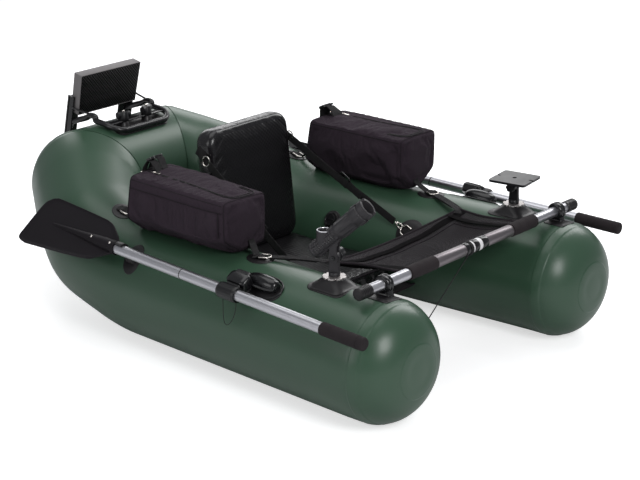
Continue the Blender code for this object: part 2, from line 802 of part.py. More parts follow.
def make_straps(webbing, rubber, guides):
    """On each side a round patch with its D-ring and hook, and the strap to the backrest."""
    for side, name in SIDE_NAMES.items():
        placement = hull_frame(side, ANCHOR_AFT, ANCHOR_LEAN)
        normal = placement.to_3x3().col[2].normalized()
        start = placement.translation + normal * (PATCH_THICKNESS + TAB_HEIGHT / 2)
        top = back_point(side, BACK_HEIGHT * STRAP_HEIGHT_SHARE, BACK_DEPTH * STRAP_DEPTH_SHARE)
        away = (top - start).normalized()
        tab, ring = ring_shapes(placement, away)
        ring_way = (away - normal * away.dot(normal)).normalized()
        hook_start = start + ring_way * RING_LENGTH - away * RING_WIRE
        hook_end = hook_start + away * HOOK_LENGTH
        hook = swept([hook_start, hook_end], HOOK_WIRE, WIRE_SIDES)
        outline = oval(ANCHOR_RADIUS, ANCHOR_RADIUS)
        glued_patch(
            f"{name}_strap_anchor", rubber, guides, side, placement, outline, tab, ring, hook,
        )
        strap_start = hook_end + away * CLEARANCE * 2
        clear = Vector((side * (STRAP_THICKNESS / 2 + CLEARANCE * 2), 0, 0))
        strap_end = top + clear
        run = strap_end - strap_start
        flat = Vector((side, 0, 0))
        strap_frame = frame(strap_start, run, flat)
        outline = [
            (0, -STRAP_WIDTH / 2), (run.length, -STRAP_WIDTH / 2),
            (run.length, STRAP_WIDTH / 2), (0, STRAP_WIDTH / 2),
        ]
        strip = prism(outline, strap_frame, -STRAP_THICKNESS / 2, STRAP_THICKNESS / 2)
        solid(f"{name}_backrest_strap", webbing, strip)


# Valves

def make_valves(rubber, plastic, guides):
    for side, name in SIDE_NAMES.items():
        placement = hull_frame(side, VALVE_AFT, VALVE_LEAN)
        body = solid(f"{name}_valve", rubber, turned(
            [(VALVE_RADIUS, -PATCH_DEPTH), (VALVE_RADIUS, VALVE_RISE)], placement, BROAD_SIDES,
        ))
        combine(body, "DIFFERENCE", guides[side, "seat"])
        low = VALVE_RISE + CLEARANCE
        cap = solid(f"{name}_valve_cap", plastic, turned([
            (CAP_RADIUS, low), (CAP_RADIUS, low + CAP_RISE * 0.7), (CAP_RADIUS * 0.88, low + CAP_RISE),
        ], placement, BROAD_SIDES))
        axis = placement.to_3x3().col[2]
        pivot(f"{name}_valve_cap_turn", placement.translation + axis * low, axis, cap)


# Bags

def bag_ring(side, aft, lean, draw):
    """A bag's cross-section, leaning aft towards its foot by lean and drawn in by draw."""
    half = []
    bottom = hull_level(BAG_FRONT_AFT) + TUBE_RADIUS - BAG_SAG
    height = BAG_TOP - bottom
    for across, up in BAG_SECTION_SHARES:
        x = (BAG_WIDTH / 2 - draw) * across
        level = bottom + draw + (height - draw * 2) * up
        half.append((x, aft + lean * (1 - up), level))
    outline = half + [(-x, y, z) for x, y, z in reversed(half)]
    return [at(side * BAG_MIDDLE_X + x, y, z) for x, y, z in outline]


def make_bags(cloth, metal, rubber, guides):
    back_aft = BAG_FRONT_AFT + BAG_LENGTH
    stations = (
        (BAG_FRONT_AFT, 0, BAG_ROUNDING), (BAG_FRONT_AFT + BAG_ROUNDING / 2, 0, 0),
        (back_aft - BAG_ROUNDING / 2, BAG_REAR_LEAN, 0), (back_aft, BAG_REAR_LEAN, BAG_ROUNDING),
    )
    for side, name in SIDE_NAMES.items():
        bag = solid(f"{name}_bag", cloth, lofted([bag_ring(side, *station) for station in stations]))
        combine(bag, "DIFFERENCE", guides[side, "seat"])

        pull_aft = BAG_FRONT_AFT + BAG_LENGTH - PULL_INSET - PULL_LENGTH / 2
        pull_x = side * (BAG_MIDDLE_X + BAG_WIDTH / 6)
        placement = frame(at(pull_x, pull_aft, BAG_TOP), Vector((0, 1, 0)), Vector((0, 0, 1)))
        outline = rounded(PULL_LENGTH / 2, PULL_WIDTH / 2, PULL_WIDTH / 4)
        pull = solid(
            f"{name}_zip_pull", metal,
            prism(outline, placement, CLEARANCE, CLEARANCE + PULL_THICKNESS),
        )
        pivot(f"{name}_zip_slide", placement.translation, Vector((0, -1, 0)), pull)

        apron_corner = at(side * APRON_BACK_HALF_WIDTH, APRON_BACK_AFT, APRON_BACK_LEVEL)
        places = (
            ("front", FRONT_ANCHOR_AFT, FRONT_ANCHOR_LEAN, apron_corner),
            ("rear", REAR_ANCHOR_AFT, REAR_ANCHOR_LEAN, at(side * BAG_MIDDLE_X, BAG_FRONT_AFT, BAG_TOP)),
        )
        for label, aft, lean, target in places:
            placement = hull_frame(side, aft, lean)
            shapes = ring_shapes(placement, target - placement.translation)
            outline = oval(BAG_PATCH_HALF_LENGTH, BAG_PATCH_HALF_WIDTH)
            glued_patch(
                f"{name}_{label}_bag_anchor", rubber, guides, side, placement, outline, *shapes,
            )


# Crossbar

def bar_frame():
    """Local Z runs along the bar to the left, from the bar's own middle."""
    return frame(at(BAR_SHIFT, BAR_AFT, BAR_LEVEL), Vector((0, 0, 1)), Vector((1, 0, 0)))


def make_crossbar(alloy, foam, rubber, guides):
    placement = bar_frame()
    tube_end = BAR_HALF_LENGTH - END_CAP_LIP - CLEARANCE
    foam_inner = FOAM_INNER_OFFSET
    bore = BAR_RADIUS - BAR_WALL
    half = (
        (BAR_RADIUS, tube_end), (BAR_RADIUS, foam_inner), (SLEEVE_RADIUS, foam_inner),
        (SLEEVE_RADIUS, COLLAR_HALF_WIDTH), (COLLAR_RADIUS, COLLAR_HALF_WIDTH),
    )
    profile = [(radius, -height) for radius, height in half]
    profile += [(radius, height) for radius, height in reversed(half)]
    profile += [(bore, tube_end), (bore, -tube_end)]
    tube = solid("crossbar_tube", alloy, turned(profile, placement, bored=True))
    _, knot, run, _, _ = bar_cord_ends()
    tied = [knot + Vector((0, 0, BAR_KNOT_DROP - BAR_RADIUS)), knot, knot + run * BAR_KNOT_REACH]
    fuse(tube, swept(tied, BAR_KNOT_RADIUS, WIRE_SIDES))

    sleeve_bore = BAR_RADIUS + CLEARANCE
    for side, name in SIDE_NAMES.items():
        low = side * (foam_inner + CLEARANCE)
        high = side * (foam_inner + FOAM_LENGTH)
        solid(f"{name}_foam_sleeve", foam, turned([
            (FOAM_RADIUS, low), (FOAM_RADIUS, high), (sleeve_bore, high), (sleeve_bore, low),
        ], placement, bored=True))
        mouth = side * (BAR_HALF_LENGTH - END_CAP_LENGTH)
        floor = side * (BAR_HALF_LENGTH - END_CAP_LIP)
        end = side * BAR_HALF_LENGTH
        solid(f"{name}_bar_end_cap", rubber, turned([
            (0, floor), (sleeve_bore, floor), (sleeve_bore, mouth), (END_CAP_RADIUS, mouth),
            (END_CAP_RADIUS, end), (0, end),
        ], placement))
        make_bar_loop(side, name, placement, sleeve_bore, rubber, guides)


def make_bar_loop(side, name, placement, bore, rubber, guides):
    middle = side * LOOP_HALF_SPACING + LOOP_SHIFT - BAR_SHIFT
    ring = turned([
        (LOOP_OUTER_RADIUS * 0.86, middle - LOOP_WIDTH / 2), (LOOP_OUTER_RADIUS, middle - LOOP_WIDTH / 4),
        (LOOP_OUTER_RADIUS, middle + LOOP_WIDTH / 4), (LOOP_OUTER_RADIUS * 0.86, middle + LOOP_WIDTH / 2),
        (0, middle + LOOP_WIDTH / 2), (0, middle - LOOP_WIDTH / 2),
    ], placement, BROAD_SIDES)
    x = side * LOOP_HALF_SPACING + LOOP_SHIFT
    foot_frame = frame(at(x, BAR_AFT, BAR_LEVEL), Vector((1, 0, 0)), Vector((0, 0, 1)))
    foot = prism(
        rounded(LOOP_WIDTH / 2, LOOP_FOOT_LENGTH / 2, BAR_WALL), foot_frame,
        -BAR_LEVEL + TUBE_RADIUS, -LOOP_OUTER_RADIUS * 0.55,
    )
    lean = math.asin((abs(x) - leg_spacing(LOOP_PATCH_AFT)) / TUBE_RADIUS)
    patch_frame = hull_frame(side, LOOP_PATCH_AFT, lean / 2)
    outline = rounded(LOOP_PATCH_HALF, LOOP_PATCH_HALF, LOOP_PATCH_CORNER)
    obj = glued_patch(f"{name}_bar_loop", rubber, guides, side, patch_frame, outline, foot, ring)
    hole_half = LOOP_WIDTH / 2 + CUT_OVERRUN
    cut(obj, turned([(bore, middle - hole_half), (bore, middle + hole_half)], placement))


# Apron

def make_apron(mesh_cloth):
    front_aft = BAR_AFT + FOAM_RADIUS / math.cos(math.pi / ROUND_SIDES) + CLEARANCE
    front_level = BAR_LEVEL - APRON_THICKNESS
    top = []
    for row in range(APRON_ALONG + 1):
        back_share = row / APRON_ALONG
        points = []
        for column in range(APRON_ACROSS + 1):
            across = 2 * column / APRON_ACROSS - 1
            bow = 1 - across * across
            half = APRON_FRONT_HALF_WIDTH + (APRON_BACK_HALF_WIDTH - APRON_FRONT_HALF_WIDTH) * back_share
            back_aft = APRON_BACK_AFT + APRON_RIM_SWEEP * bow
            back_level = APRON_BACK_LEVEL - APRON_RIM_SAG * bow
            aft = front_aft + (back_aft - front_aft) * back_share
            level = front_level + (back_level - front_level) * back_share
            level -= APRON_BELLY * bow * math.sin(math.pi * back_share)
            points.append(at(across * half, aft, level))
        top.append(points)
    drop = Vector((0, 0, -APRON_THICKNESS))
    rings = [points + [point + drop for point in reversed(points)] for points in top]
    apron = solid("apron", mesh_cloth, lofted(rings))
    for side in SIDE_NAMES:
        corner = at(side * APRON_BACK_HALF_WIDTH, APRON_BACK_AFT, APRON_BACK_LEVEL)
        placement = hull_frame(side, FRONT_ANCHOR_AFT, FRONT_ANCHOR_LEAN)
        normal = placement.to_3x3().col[2].normalized()
        start = placement.translation + normal * (PATCH_THICKNESS + TAB_HEIGHT / 2)
        toward = corner - placement.translation
        toward = (toward - normal * toward.dot(normal)).normalized()
        ring_end = start + toward * (RING_LENGTH + RING_WIRE + CLEARANCE)
        inner = corner + (corner - ring_end).normalized() * APRON_TAB_WIDTH / 2
        run = inner - ring_end
        tab_frame = frame(ring_end, run, Vector((0, 0, 1)))
        half = APRON_TAB_WIDTH / 2
        outline = [(0, -half), (run.length, -half), (run.length, half), (0, half)]
        fuse(apron, prism(outline, tab_frame, -APRON_THICKNESS * 0.7, APRON_THICKNESS * 0.3))


# Accessory mounts

def upright(x, aft, level, along=None):
    return frame(at(x, aft, level), along or Vector((0, -1, 0)), Vector((0, 0, 1)))


def star_outline():
    outline = []
    for tooth in range(STAR_TEETH * 2):
        angle = math.pi * tooth / STAR_TEETH
        radius = STAR_NOTCH_RADIUS if tooth % 2 else STAR_RADIUS
        outline.append((radius * math.cos(angle), radius * math.sin(angle)))
    return outline


def star_top():
    return PAD_TOP_LEVEL + CLEARANCE + STAR_THICKNESS


def make_pads(rubber, steel, guides):
    for side, name in SIDE_NAMES.items():
        lean = math.asin((PAD_X - leg_spacing(PAD_AFT)) / TUBE_RADIUS)
        placement = hull_frame(side, PAD_AFT, lean)
        outline = rounded(PAD_HALF_LENGTH, PAD_HALF_WIDTH, PAD_CORNER)
        foot = CREST_LEVEL - PATCH_DEPTH
        mound = turned([
            (PAD_FOOT_RADIUS, foot), (PAD_FOOT_RADIUS, CREST_LEVEL), (PAD_TOP_RADIUS, PAD_TOP_LEVEL),
        ], upright(side * PAD_X, PAD_AFT, 0), BROAD_SIDES)
        glued_patch(f"{name}_accessory_pad", rubber, guides, side, placement, outline, mound)
        low = PAD_TOP_LEVEL + CLEARANCE
        star = prism(star_outline(), upright(side * PAD_X, PAD_AFT, 0), low, low + STAR_THICKNESS)
        solid(f"{name}_star_plate", steel, star)


def knob_shape(placement, radius, low, length):
    """A lobed knob along local Z with a domed end."""
    outline = lobed(radius, KNOB_LOBE_DEPTH, KNOB_LOBES)
    rings = [
        [placement @ Vector((u * share, v * share, low + length * height)) for u, v in outline]
        for share, height in KNOB_SECTION_SHARES
    ]
    return lofted(rings)


def make_eye_post(name, plastic, x, eye, ahead, across):
    """A round foot on the star plate, a column and a bored eye square to across.

    It returns the eye's placement and the empty on which the post swivels.
    """
    base = star_top() + CLEARANCE
    post = solid(name, plastic, turned([
        (POST_RADIUS, base), (POST_RADIUS, base + POST_BASE_HEIGHT * 0.6),
        (POST_RADIUS * 0.75, base + POST_BASE_HEIGHT),
    ], upright(x, PAD_AFT, 0), BROAD_SIDES))
    half = POST_THICKNESS / 2
    drop = eye.z - base - POST_BASE_HEIGHT / 2
    column = prism(
        rounded(POST_WIDTH / 2, half, POST_THICKNESS / 6), frame(eye, ahead, Vector((0, 0, 1))), -drop, 0,
    )
    eye_frame = frame(eye, ahead, across)
    boss = turned([(POST_EYE_RADIUS, -half), (POST_EYE_RADIUS, half)], eye_frame, BROAD_SIDES)
    fuse(post, column, boss)
    hole = half + CUT_OVERRUN
    bore = PIVOT_RADIUS + RUNNING_FIT
    cut(post, turned([(bore, -hole), (bore, hole)], eye_frame))
    swivel = pivot(name.replace("post", "swivel"), at(x, PAD_AFT, base), Vector((0, 0, 1)), post)
    return eye_frame, swivel


def fuse_lugs(target, eye, ahead, across, reach):
    """Two lugs beside the eye, up to a height of reach, with the pin through them."""
    side = frame(eye, ahead, across)
    up = 1 if side.to_3x3().col[1].z > 0 else -1
    inner = POST_THICKNESS / 2 + CLEARANCE
    outer = inner + LUG_THICKNESS
    half = LUG_WIDTH / 2
    outline = [(-half, 0), (half, 0), (half, up * reach), (-half, up * reach)]
    for low, high in ((inner, outer), (-outer, -inner)):
        rim = turned([(half, low), (half, high)], side, BROAD_SIDES)
        fuse(target, prism(outline, side, low, high), rim)
    fuse(target, turned([(PIVOT_RADIUS, -outer), (PIVOT_RADIUS, outer)], side))
    return outer + CLEARANCE


def make_rod_holder(plastic):
    eye = at(-PAD_X, PAD_AFT, star_top() + CLEARANCE + POST_EYE_HEIGHT)
    ahead = Vector((math.sin(ROD_HEADING), -math.cos(ROD_HEADING), 0))
    across = Vector((math.cos(ROD_HEADING), math.sin(ROD_HEADING), 0))
    eye_frame, swivel = make_eye_post("rod_holder_post", plastic, -PAD_X, eye, ahead, across)
    axis = ahead * math.cos(ROD_ELEVATION) + Vector((0, 0, 1)) * math.sin(ROD_ELEVATION)
    middle = eye + Vector((0, 0, 1)) * ROD_TUBE_RISE
    start = middle - axis * ROD_TUBE_LENGTH * (1 - ROD_FORE_SHARE)
    tube_frame = frame(start, across, axis)
    handle_end, body_start, body_end, head_start = (
        ROD_TUBE_LENGTH * share for share in ROD_SECTION_SHARES
    )
    tube = solid("rod_holder_tube", plastic, turned([
        (ROD_HANDLE_RADIUS, 0), (ROD_HANDLE_RADIUS, handle_end),
        (ROD_TUBE_RADIUS, body_start), (ROD_TUBE_RADIUS, body_end),
        (ROD_HEAD_RADIUS, head_start), (ROD_HEAD_RADIUS, ROD_TUBE_LENGTH),
    ], tube_frame, ROD_TUBE_SIDES))
    knob_low = fuse_lugs(tube, eye, ahead, across, ROD_TUBE_RISE - ROD_TUBE_BORE * 0.4)
    end = ROD_TUBE_LENGTH + CUT_OVERRUN
    cut(tube, turned([(ROD_TUBE_BORE, -CUT_OVERRUN), (ROD_TUBE_BORE, end)], tube_frame, ROD_TUBE_SIDES))
    knob = solid("rod_holder_knob", plastic, knob_shape(eye_frame, KNOB_RADIUS, knob_low, KNOB_LENGTH))
    tilt = pivot("rod_holder_tilt", eye, across, tube, carrier=swivel)
    pivot("rod_knob_turn", eye, across, knob, carrier=tilt)


def make_finder_mount(plastic):
    eye = at(PAD_X, PAD_AFT, star_top() + CLEARANCE + FINDER_EYE_HEIGHT)
    ahead = Vector((math.sin(FINDER_TWIST), -math.cos(FINDER_TWIST), 0))
    across = Vector((-math.cos(FINDER_TWIST), -math.sin(FINDER_TWIST), 0))
    eye_frame, swivel = make_eye_post("finder_post", plastic, PAD_X, eye, ahead, across)
    plate_frame = frame(eye, ahead, Vector((0, 0, 1)))
    low = FINDER_PLATE_RISE
    high = low + FINDER_PLATE_THICKNESS
    outline = rounded(FINDER_PLATE_LENGTH / 2, FINDER_PLATE_WIDTH / 2, FINDER_PLATE_CORNER)
    plate = solid("finder_plate", plastic, prism(outline, plate_frame, low, high))
    knob_low = fuse_lugs(plate, eye, ahead, across, low + FINDER_PLATE_THICKNESS / 2)
    slot_end = FINDER_PLATE_LENGTH / 2 - FINDER_SLOT_DEPTH
    past = FINDER_PLATE_LENGTH / 2 + CUT_OVERRUN
    half_slot = FINDER_SLOT_WIDTH / 2
    slot = [(slot_end, -half_slot), (past, -half_slot), (past, half_slot), (slot_end, half_slot)]
    for shape in (slot, [(-u, v) for u, v in slot]):
        cut(plate, prism(shape, plate_frame, low - CUT_OVERRUN, high + CUT_OVERRUN))
    cut(plate, turned([
        (FINDER_HOLE_RADIUS, high - FINDER_PLATE_THICKNESS / 2), (FINDER_HOLE_RADIUS, high + CUT_OVERRUN),
    ], plate_frame))
    knob = solid("finder_knob", plastic, knob_shape(eye_frame, KNOB_RADIUS, knob_low, KNOB_LENGTH))
    tilt = pivot("finder_tilt", eye, across, plate, carrier=swivel)
    pivot("finder_knob_turn", eye, across, knob, carrier=tilt)


# Oars

def oar_direction(side):
    return Vector((-side * OAR_INWARD_SLOPE, 1, OAR_RISE_SLOPE)).normalized()


def oar_point(side, aft):
    run = aft - GRIP_END_AFT
    x = side * (GRIP_END_X - OAR_INWARD_SLOPE * run)
    return at(x, aft, GRIP_END_LEVEL + OAR_RISE_SLOPE * run)


def oar_frame(side):
    """From the grip's end: local Z along the oar and local X out along the blade's width."""
    width = Vector((side * math.cos(BLADE_TILT), 0, -math.sin(BLADE_TILT)))
    return frame(oar_point(side, GRIP_END_AFT), width, oar_direction(side))


def make_oar(side, name, swing, alloy, foam, plastic):
    """Shaft, grip and blade, which feather together in the oarlock that swing carries."""
    placement = oar_frame(side)
    shaft_start = GRIP_END_WALL + CLEARANCE
    shaft_end = BLADE_START + SOCKET_LENGTH - CLEARANCE
    shaft = solid(f"{name}_oar_shaft", alloy, turned([
        (SHAFT_RADIUS, shaft_start), (SHAFT_RADIUS, shaft_end),
    ], placement))
    bore = SHAFT_RADIUS + CLEARANCE
    grip = solid(f"{name}_oar_grip", foam, turned([
        (0, 0), (GRIP_RADIUS * 0.93, 0), (GRIP_RADIUS, GRIP_END_WALL / 2), (GRIP_RADIUS, GRIP_LENGTH),
        (bore, GRIP_LENGTH), (bore, GRIP_END_WALL), (0, GRIP_END_WALL),
    ], placement))

    outline = [
        (BLADE_HALF_WIDTH * across, BLADE_START + BLADE_LENGTH * along)
        for along, across in BLADE_OUTLINE_SHARES
    ]
    rotation = placement.to_3x3()
    flat = frame(placement.translation, rotation.col[0], rotation.col[2].cross(rotation.col[0]))
    if flat.to_3x3().col[1].dot(rotation.col[2]) < 0:
        outline = [(u, -v) for u, v in outline]
    half = BLADE_THICKNESS / 2
    blade = solid(f"{name}_oar_blade", plastic, prism(outline, flat, -half, half))
    rib_end = BLADE_START + BLADE_LENGTH * RIB_END_SHARE
    fuse(blade, turned([
        (SOCKET_RADIUS, BLADE_START), (SOCKET_RADIUS, BLADE_START + SOCKET_LENGTH),
        (SOCKET_RADIUS * 0.6, BLADE_START + SOCKET_LENGTH * 2.6), (RIB_TIP_RADIUS, rib_end),
    ], placement))
    cut(blade, turned([
        (bore, BLADE_START - CUT_OVERRUN), (bore, BLADE_START + SOCKET_LENGTH),
    ], placement))
    lock = oar_point(side, LOCK_AFT)
    pivot(f"{name}_oar_feather", lock, oar_direction(side), shaft, grip, blade, carrier=swing)


def lock_axes(side):
    """The pin's direction, the way the blade swings, and the pin's point beside the shaft."""
    pin = Vector((side * math.sin(PIN_TILT), 0, math.cos(PIN_TILT)))
    swing = Vector((side * math.cos(PIN_TILT), 0, -math.sin(PIN_TILT)))
    shaft = oar_point(side, LOCK_AFT)
    return pin, swing, shaft, shaft - swing * PIN_TO_SHAFT


def make_oarlock(side, name, plastic, rubber, guides):
    """A block on its pin, whose sleeve holds the shaft; it returns the empty that it swings on."""
    pin, swing, shaft, middle = lock_axes(side)
    along = oar_direction(side)
    placement = frame(middle, along, pin)
    outward = 1 if placement.to_3x3().col[1].dot(swing) > 0 else -1
    bore = SHAFT_RADIUS + RUNNING_FIT
    inner = -outward * LOCK_INNER
    outer = outward * PIN_TO_SHAFT
    block = solid(f"{name}_oarlock", plastic, prism([
        (-LOCK_HALF_LENGTH, inner), (LOCK_HALF_LENGTH, inner),
        (LOCK_HALF_LENGTH, outer), (-LOCK_HALF_LENGTH, outer),
    ], placement, -LOCK_BOTTOM, LOCK_TOP))
    soften(block, LOCK_ROUNDING)
    sleeve = frame(shaft, swing, along)
    fuse(block, turned([
        (LOCK_SLEEVE_RADIUS * 0.92, -LOCK_SLEEVE_HALF_LENGTH),
        (LOCK_SLEEVE_RADIUS, -LOCK_SLEEVE_HALF_LENGTH * 0.8),
        (LOCK_SLEEVE_RADIUS, LOCK_SLEEVE_HALF_LENGTH * 0.8),
        (LOCK_SLEEVE_RADIUS * 0.92, LOCK_SLEEVE_HALF_LENGTH),
    ], sleeve, BROAD_SIDES))
    past = LOCK_SLEEVE_HALF_LENGTH + CUT_OVERRUN
    cut(block, turned([(bore, -past), (bore, past)], sleeve))
    pin_bore = PIN_RADIUS + RUNNING_FIT
    cut(block, turned([
        (pin_bore, -LOCK_BOTTOM - CUT_OVERRUN), (pin_bore, LOCK_TOP + CUT_OVERRUN),
    ], placement))

    pad = hull_frame(side, LOCK_PAD_AFT, LOCK_PAD_LEAN)
    middle_aft = (CAPSULE_FRONT_AFT + CAPSULE_BACK_AFT) / 2
    capsule_frame = hull_frame(side, middle_aft, LOCK_PAD_LEAN)
    axes = capsule_frame.to_3x3()
    centre = capsule_frame.translation + axes.col[2] * CAPSULE_RISE
    lengthways = frame(centre, axes.col[2], axes.col[0])
    reach = (CAPSULE_BACK_AFT - CAPSULE_FRONT_AFT) / 2
    capsule = turned([
        (CAPSULE_RADIUS * share, reach * position) for share, position in CAPSULE_SECTION_SHARES
    ], lengthways)
    top = -LOCK_BOTTOM - CLEARANCE
    boss = turned([(BOSS_RADIUS, top - BOSS_DEPTH), (BOSS_RADIUS, top)], placement)
    head_low = LOCK_TOP + CLEARANCE
    post = turned([
        (PIN_RADIUS, top - BOSS_DEPTH / 4), (PIN_RADIUS, head_low), (PIN_HEAD_RADIUS, head_low),
        (PIN_HEAD_RADIUS, head_low + PIN_HEAD_HEIGHT / 2),
        (PIN_HEAD_RADIUS * 0.7, head_low + PIN_HEAD_HEIGHT),
    ], placement)
    outline = oval(LOCK_PAD_HALF_LENGTH, LOCK_PAD_HALF_WIDTH, HULL_SIDES)
    glued_patch(
        f"{name}_oarlock_base", rubber, guides, side, pad, outline, capsule, boss, post,
    )
    return pivot(f"{name}_oarlock_swing", middle, pin, block)


def make_clip(side, name, rubber, guides):
    """An open rubber half ring behind the shaft, on a post from its glued patch."""
    swing = lock_axes(side)[1]
    shaft = oar_point(side, CLIP_AFT)
    placement = frame(shaft, -swing, oar_direction(side))
    inner = SHAFT_RADIUS / math.cos(math.pi / ROUND_SIDES) + CLEARANCE
    angles = [CLIP_REACH * (2 * step / CLIP_STEPS - 1) for step in range(CLIP_STEPS + 1)]
    reach = inner / math.cos(CLIP_REACH / CLIP_STEPS)
    outline = [(reach * math.cos(a), reach * math.sin(a)) for a in angles]
    reach = reach + CLIP_WALL
    outline += [(reach * math.cos(a), reach * math.sin(a)) for a in reversed(angles)]
    cradle = prism(outline, placement, -CLIP_HALF_WIDTH, CLIP_HALF_WIDTH)
    patch_frame = hull_frame(side, CLIP_AFT, CLIP_LEAN)
    down = patch_frame.translation - shaft
    post_frame = frame(shaft, oar_direction(side), -down)
    post_top = -inner - CLIP_WALL * 0.6
    post = prism(
        rounded(CLIP_HALF_WIDTH * 0.9, CLIP_POST_HALF, BAR_WALL), post_frame,
        post_top - CLIP_POST_LENGTH, post_top,
    )
    outline = oval(CLIP_PATCH_HALF_LENGTH, CLIP_PATCH_HALF_WIDTH)
    glued_patch(f"{name}_oar_clip", rubber, guides, side, patch_frame, outline, post, cradle)


# Stern mount

def stern_skin(aft, ride):
    """The stern tube's skin behind or ahead of its crest, raised square to it by ride."""
    centre_level = hull_level(STERN_AFT)
    run = aft - STERN_AFT
    reach = TUBE_RADIUS + ride
    return centre_level + math.sqrt(reach * reach - run * run)


def frame_path():
    """The stern frame's round tube from the right foot, over the hull, to the left foot."""
    half = []
    corner_x = FRAME_HALF_WIDTH - FRAME_CORNER
    for step in range(ARC_STEPS + 1):
        angle = math.pi / 2 * step / ARC_STEPS
        x = corner_x + FRAME_CORNER * math.sin(angle)
        aft = FRAME_FRONT_AFT + FRAME_CORNER * (1 - math.cos(angle))
        half.append((x, aft, stern_skin(aft, FRAME_RIDE)))
    crest = STERN_AFT - FRAME_CORNER / 2
    half.append((FRAME_HALF_WIDTH, crest, stern_skin(crest, FRAME_RIDE)))
    foot_aft = board_point(0, -BOARD_HEIGHT / 2, BOARD_THICKNESS).y + HULL_LENGTH / 2
    before = (STERN_AFT + FRAME_ARCH_AFT) / 2
    half.append((FRAME_HALF_WIDTH, before, FRAME_ARCH_LEVEL - FRAME_RADIUS / 2))
    half.append((FRAME_HALF_WIDTH, FRAME_ARCH_AFT, FRAME_ARCH_LEVEL))
    half.append((FRAME_HALF_WIDTH, (FRAME_ARCH_AFT + foot_aft) / 2, FRAME_ARCH_LEVEL - FRAME_RADIUS * 2))
    half.append((FRAME_HALF_WIDTH, foot_aft, FRAME_FOOT_LEVEL + FRAME_RADIUS * 3))
    half.append((FRAME_HALF_WIDTH, foot_aft + FRAME_RADIUS * 1.5, FRAME_FOOT_LEVEL))
    left = [at(x, aft, level) for x, aft, level in half]
    right = [Vector((-point.x, point.y, point.z)) for point in left]
    return right[::-1] + left


def board_frame():
    """Local X across, local Y up the board and local Z out of its front face."""
    front = Vector((0, -math.cos(BOARD_TILT), -math.sin(BOARD_TILT)))
    return frame(at(0, BOARD_AFT, BOARD_LEVEL), Vector((1, 0, 0)), front)


def board_point(x, height, depth):
    return board_frame() @ Vector((x, height, -depth))


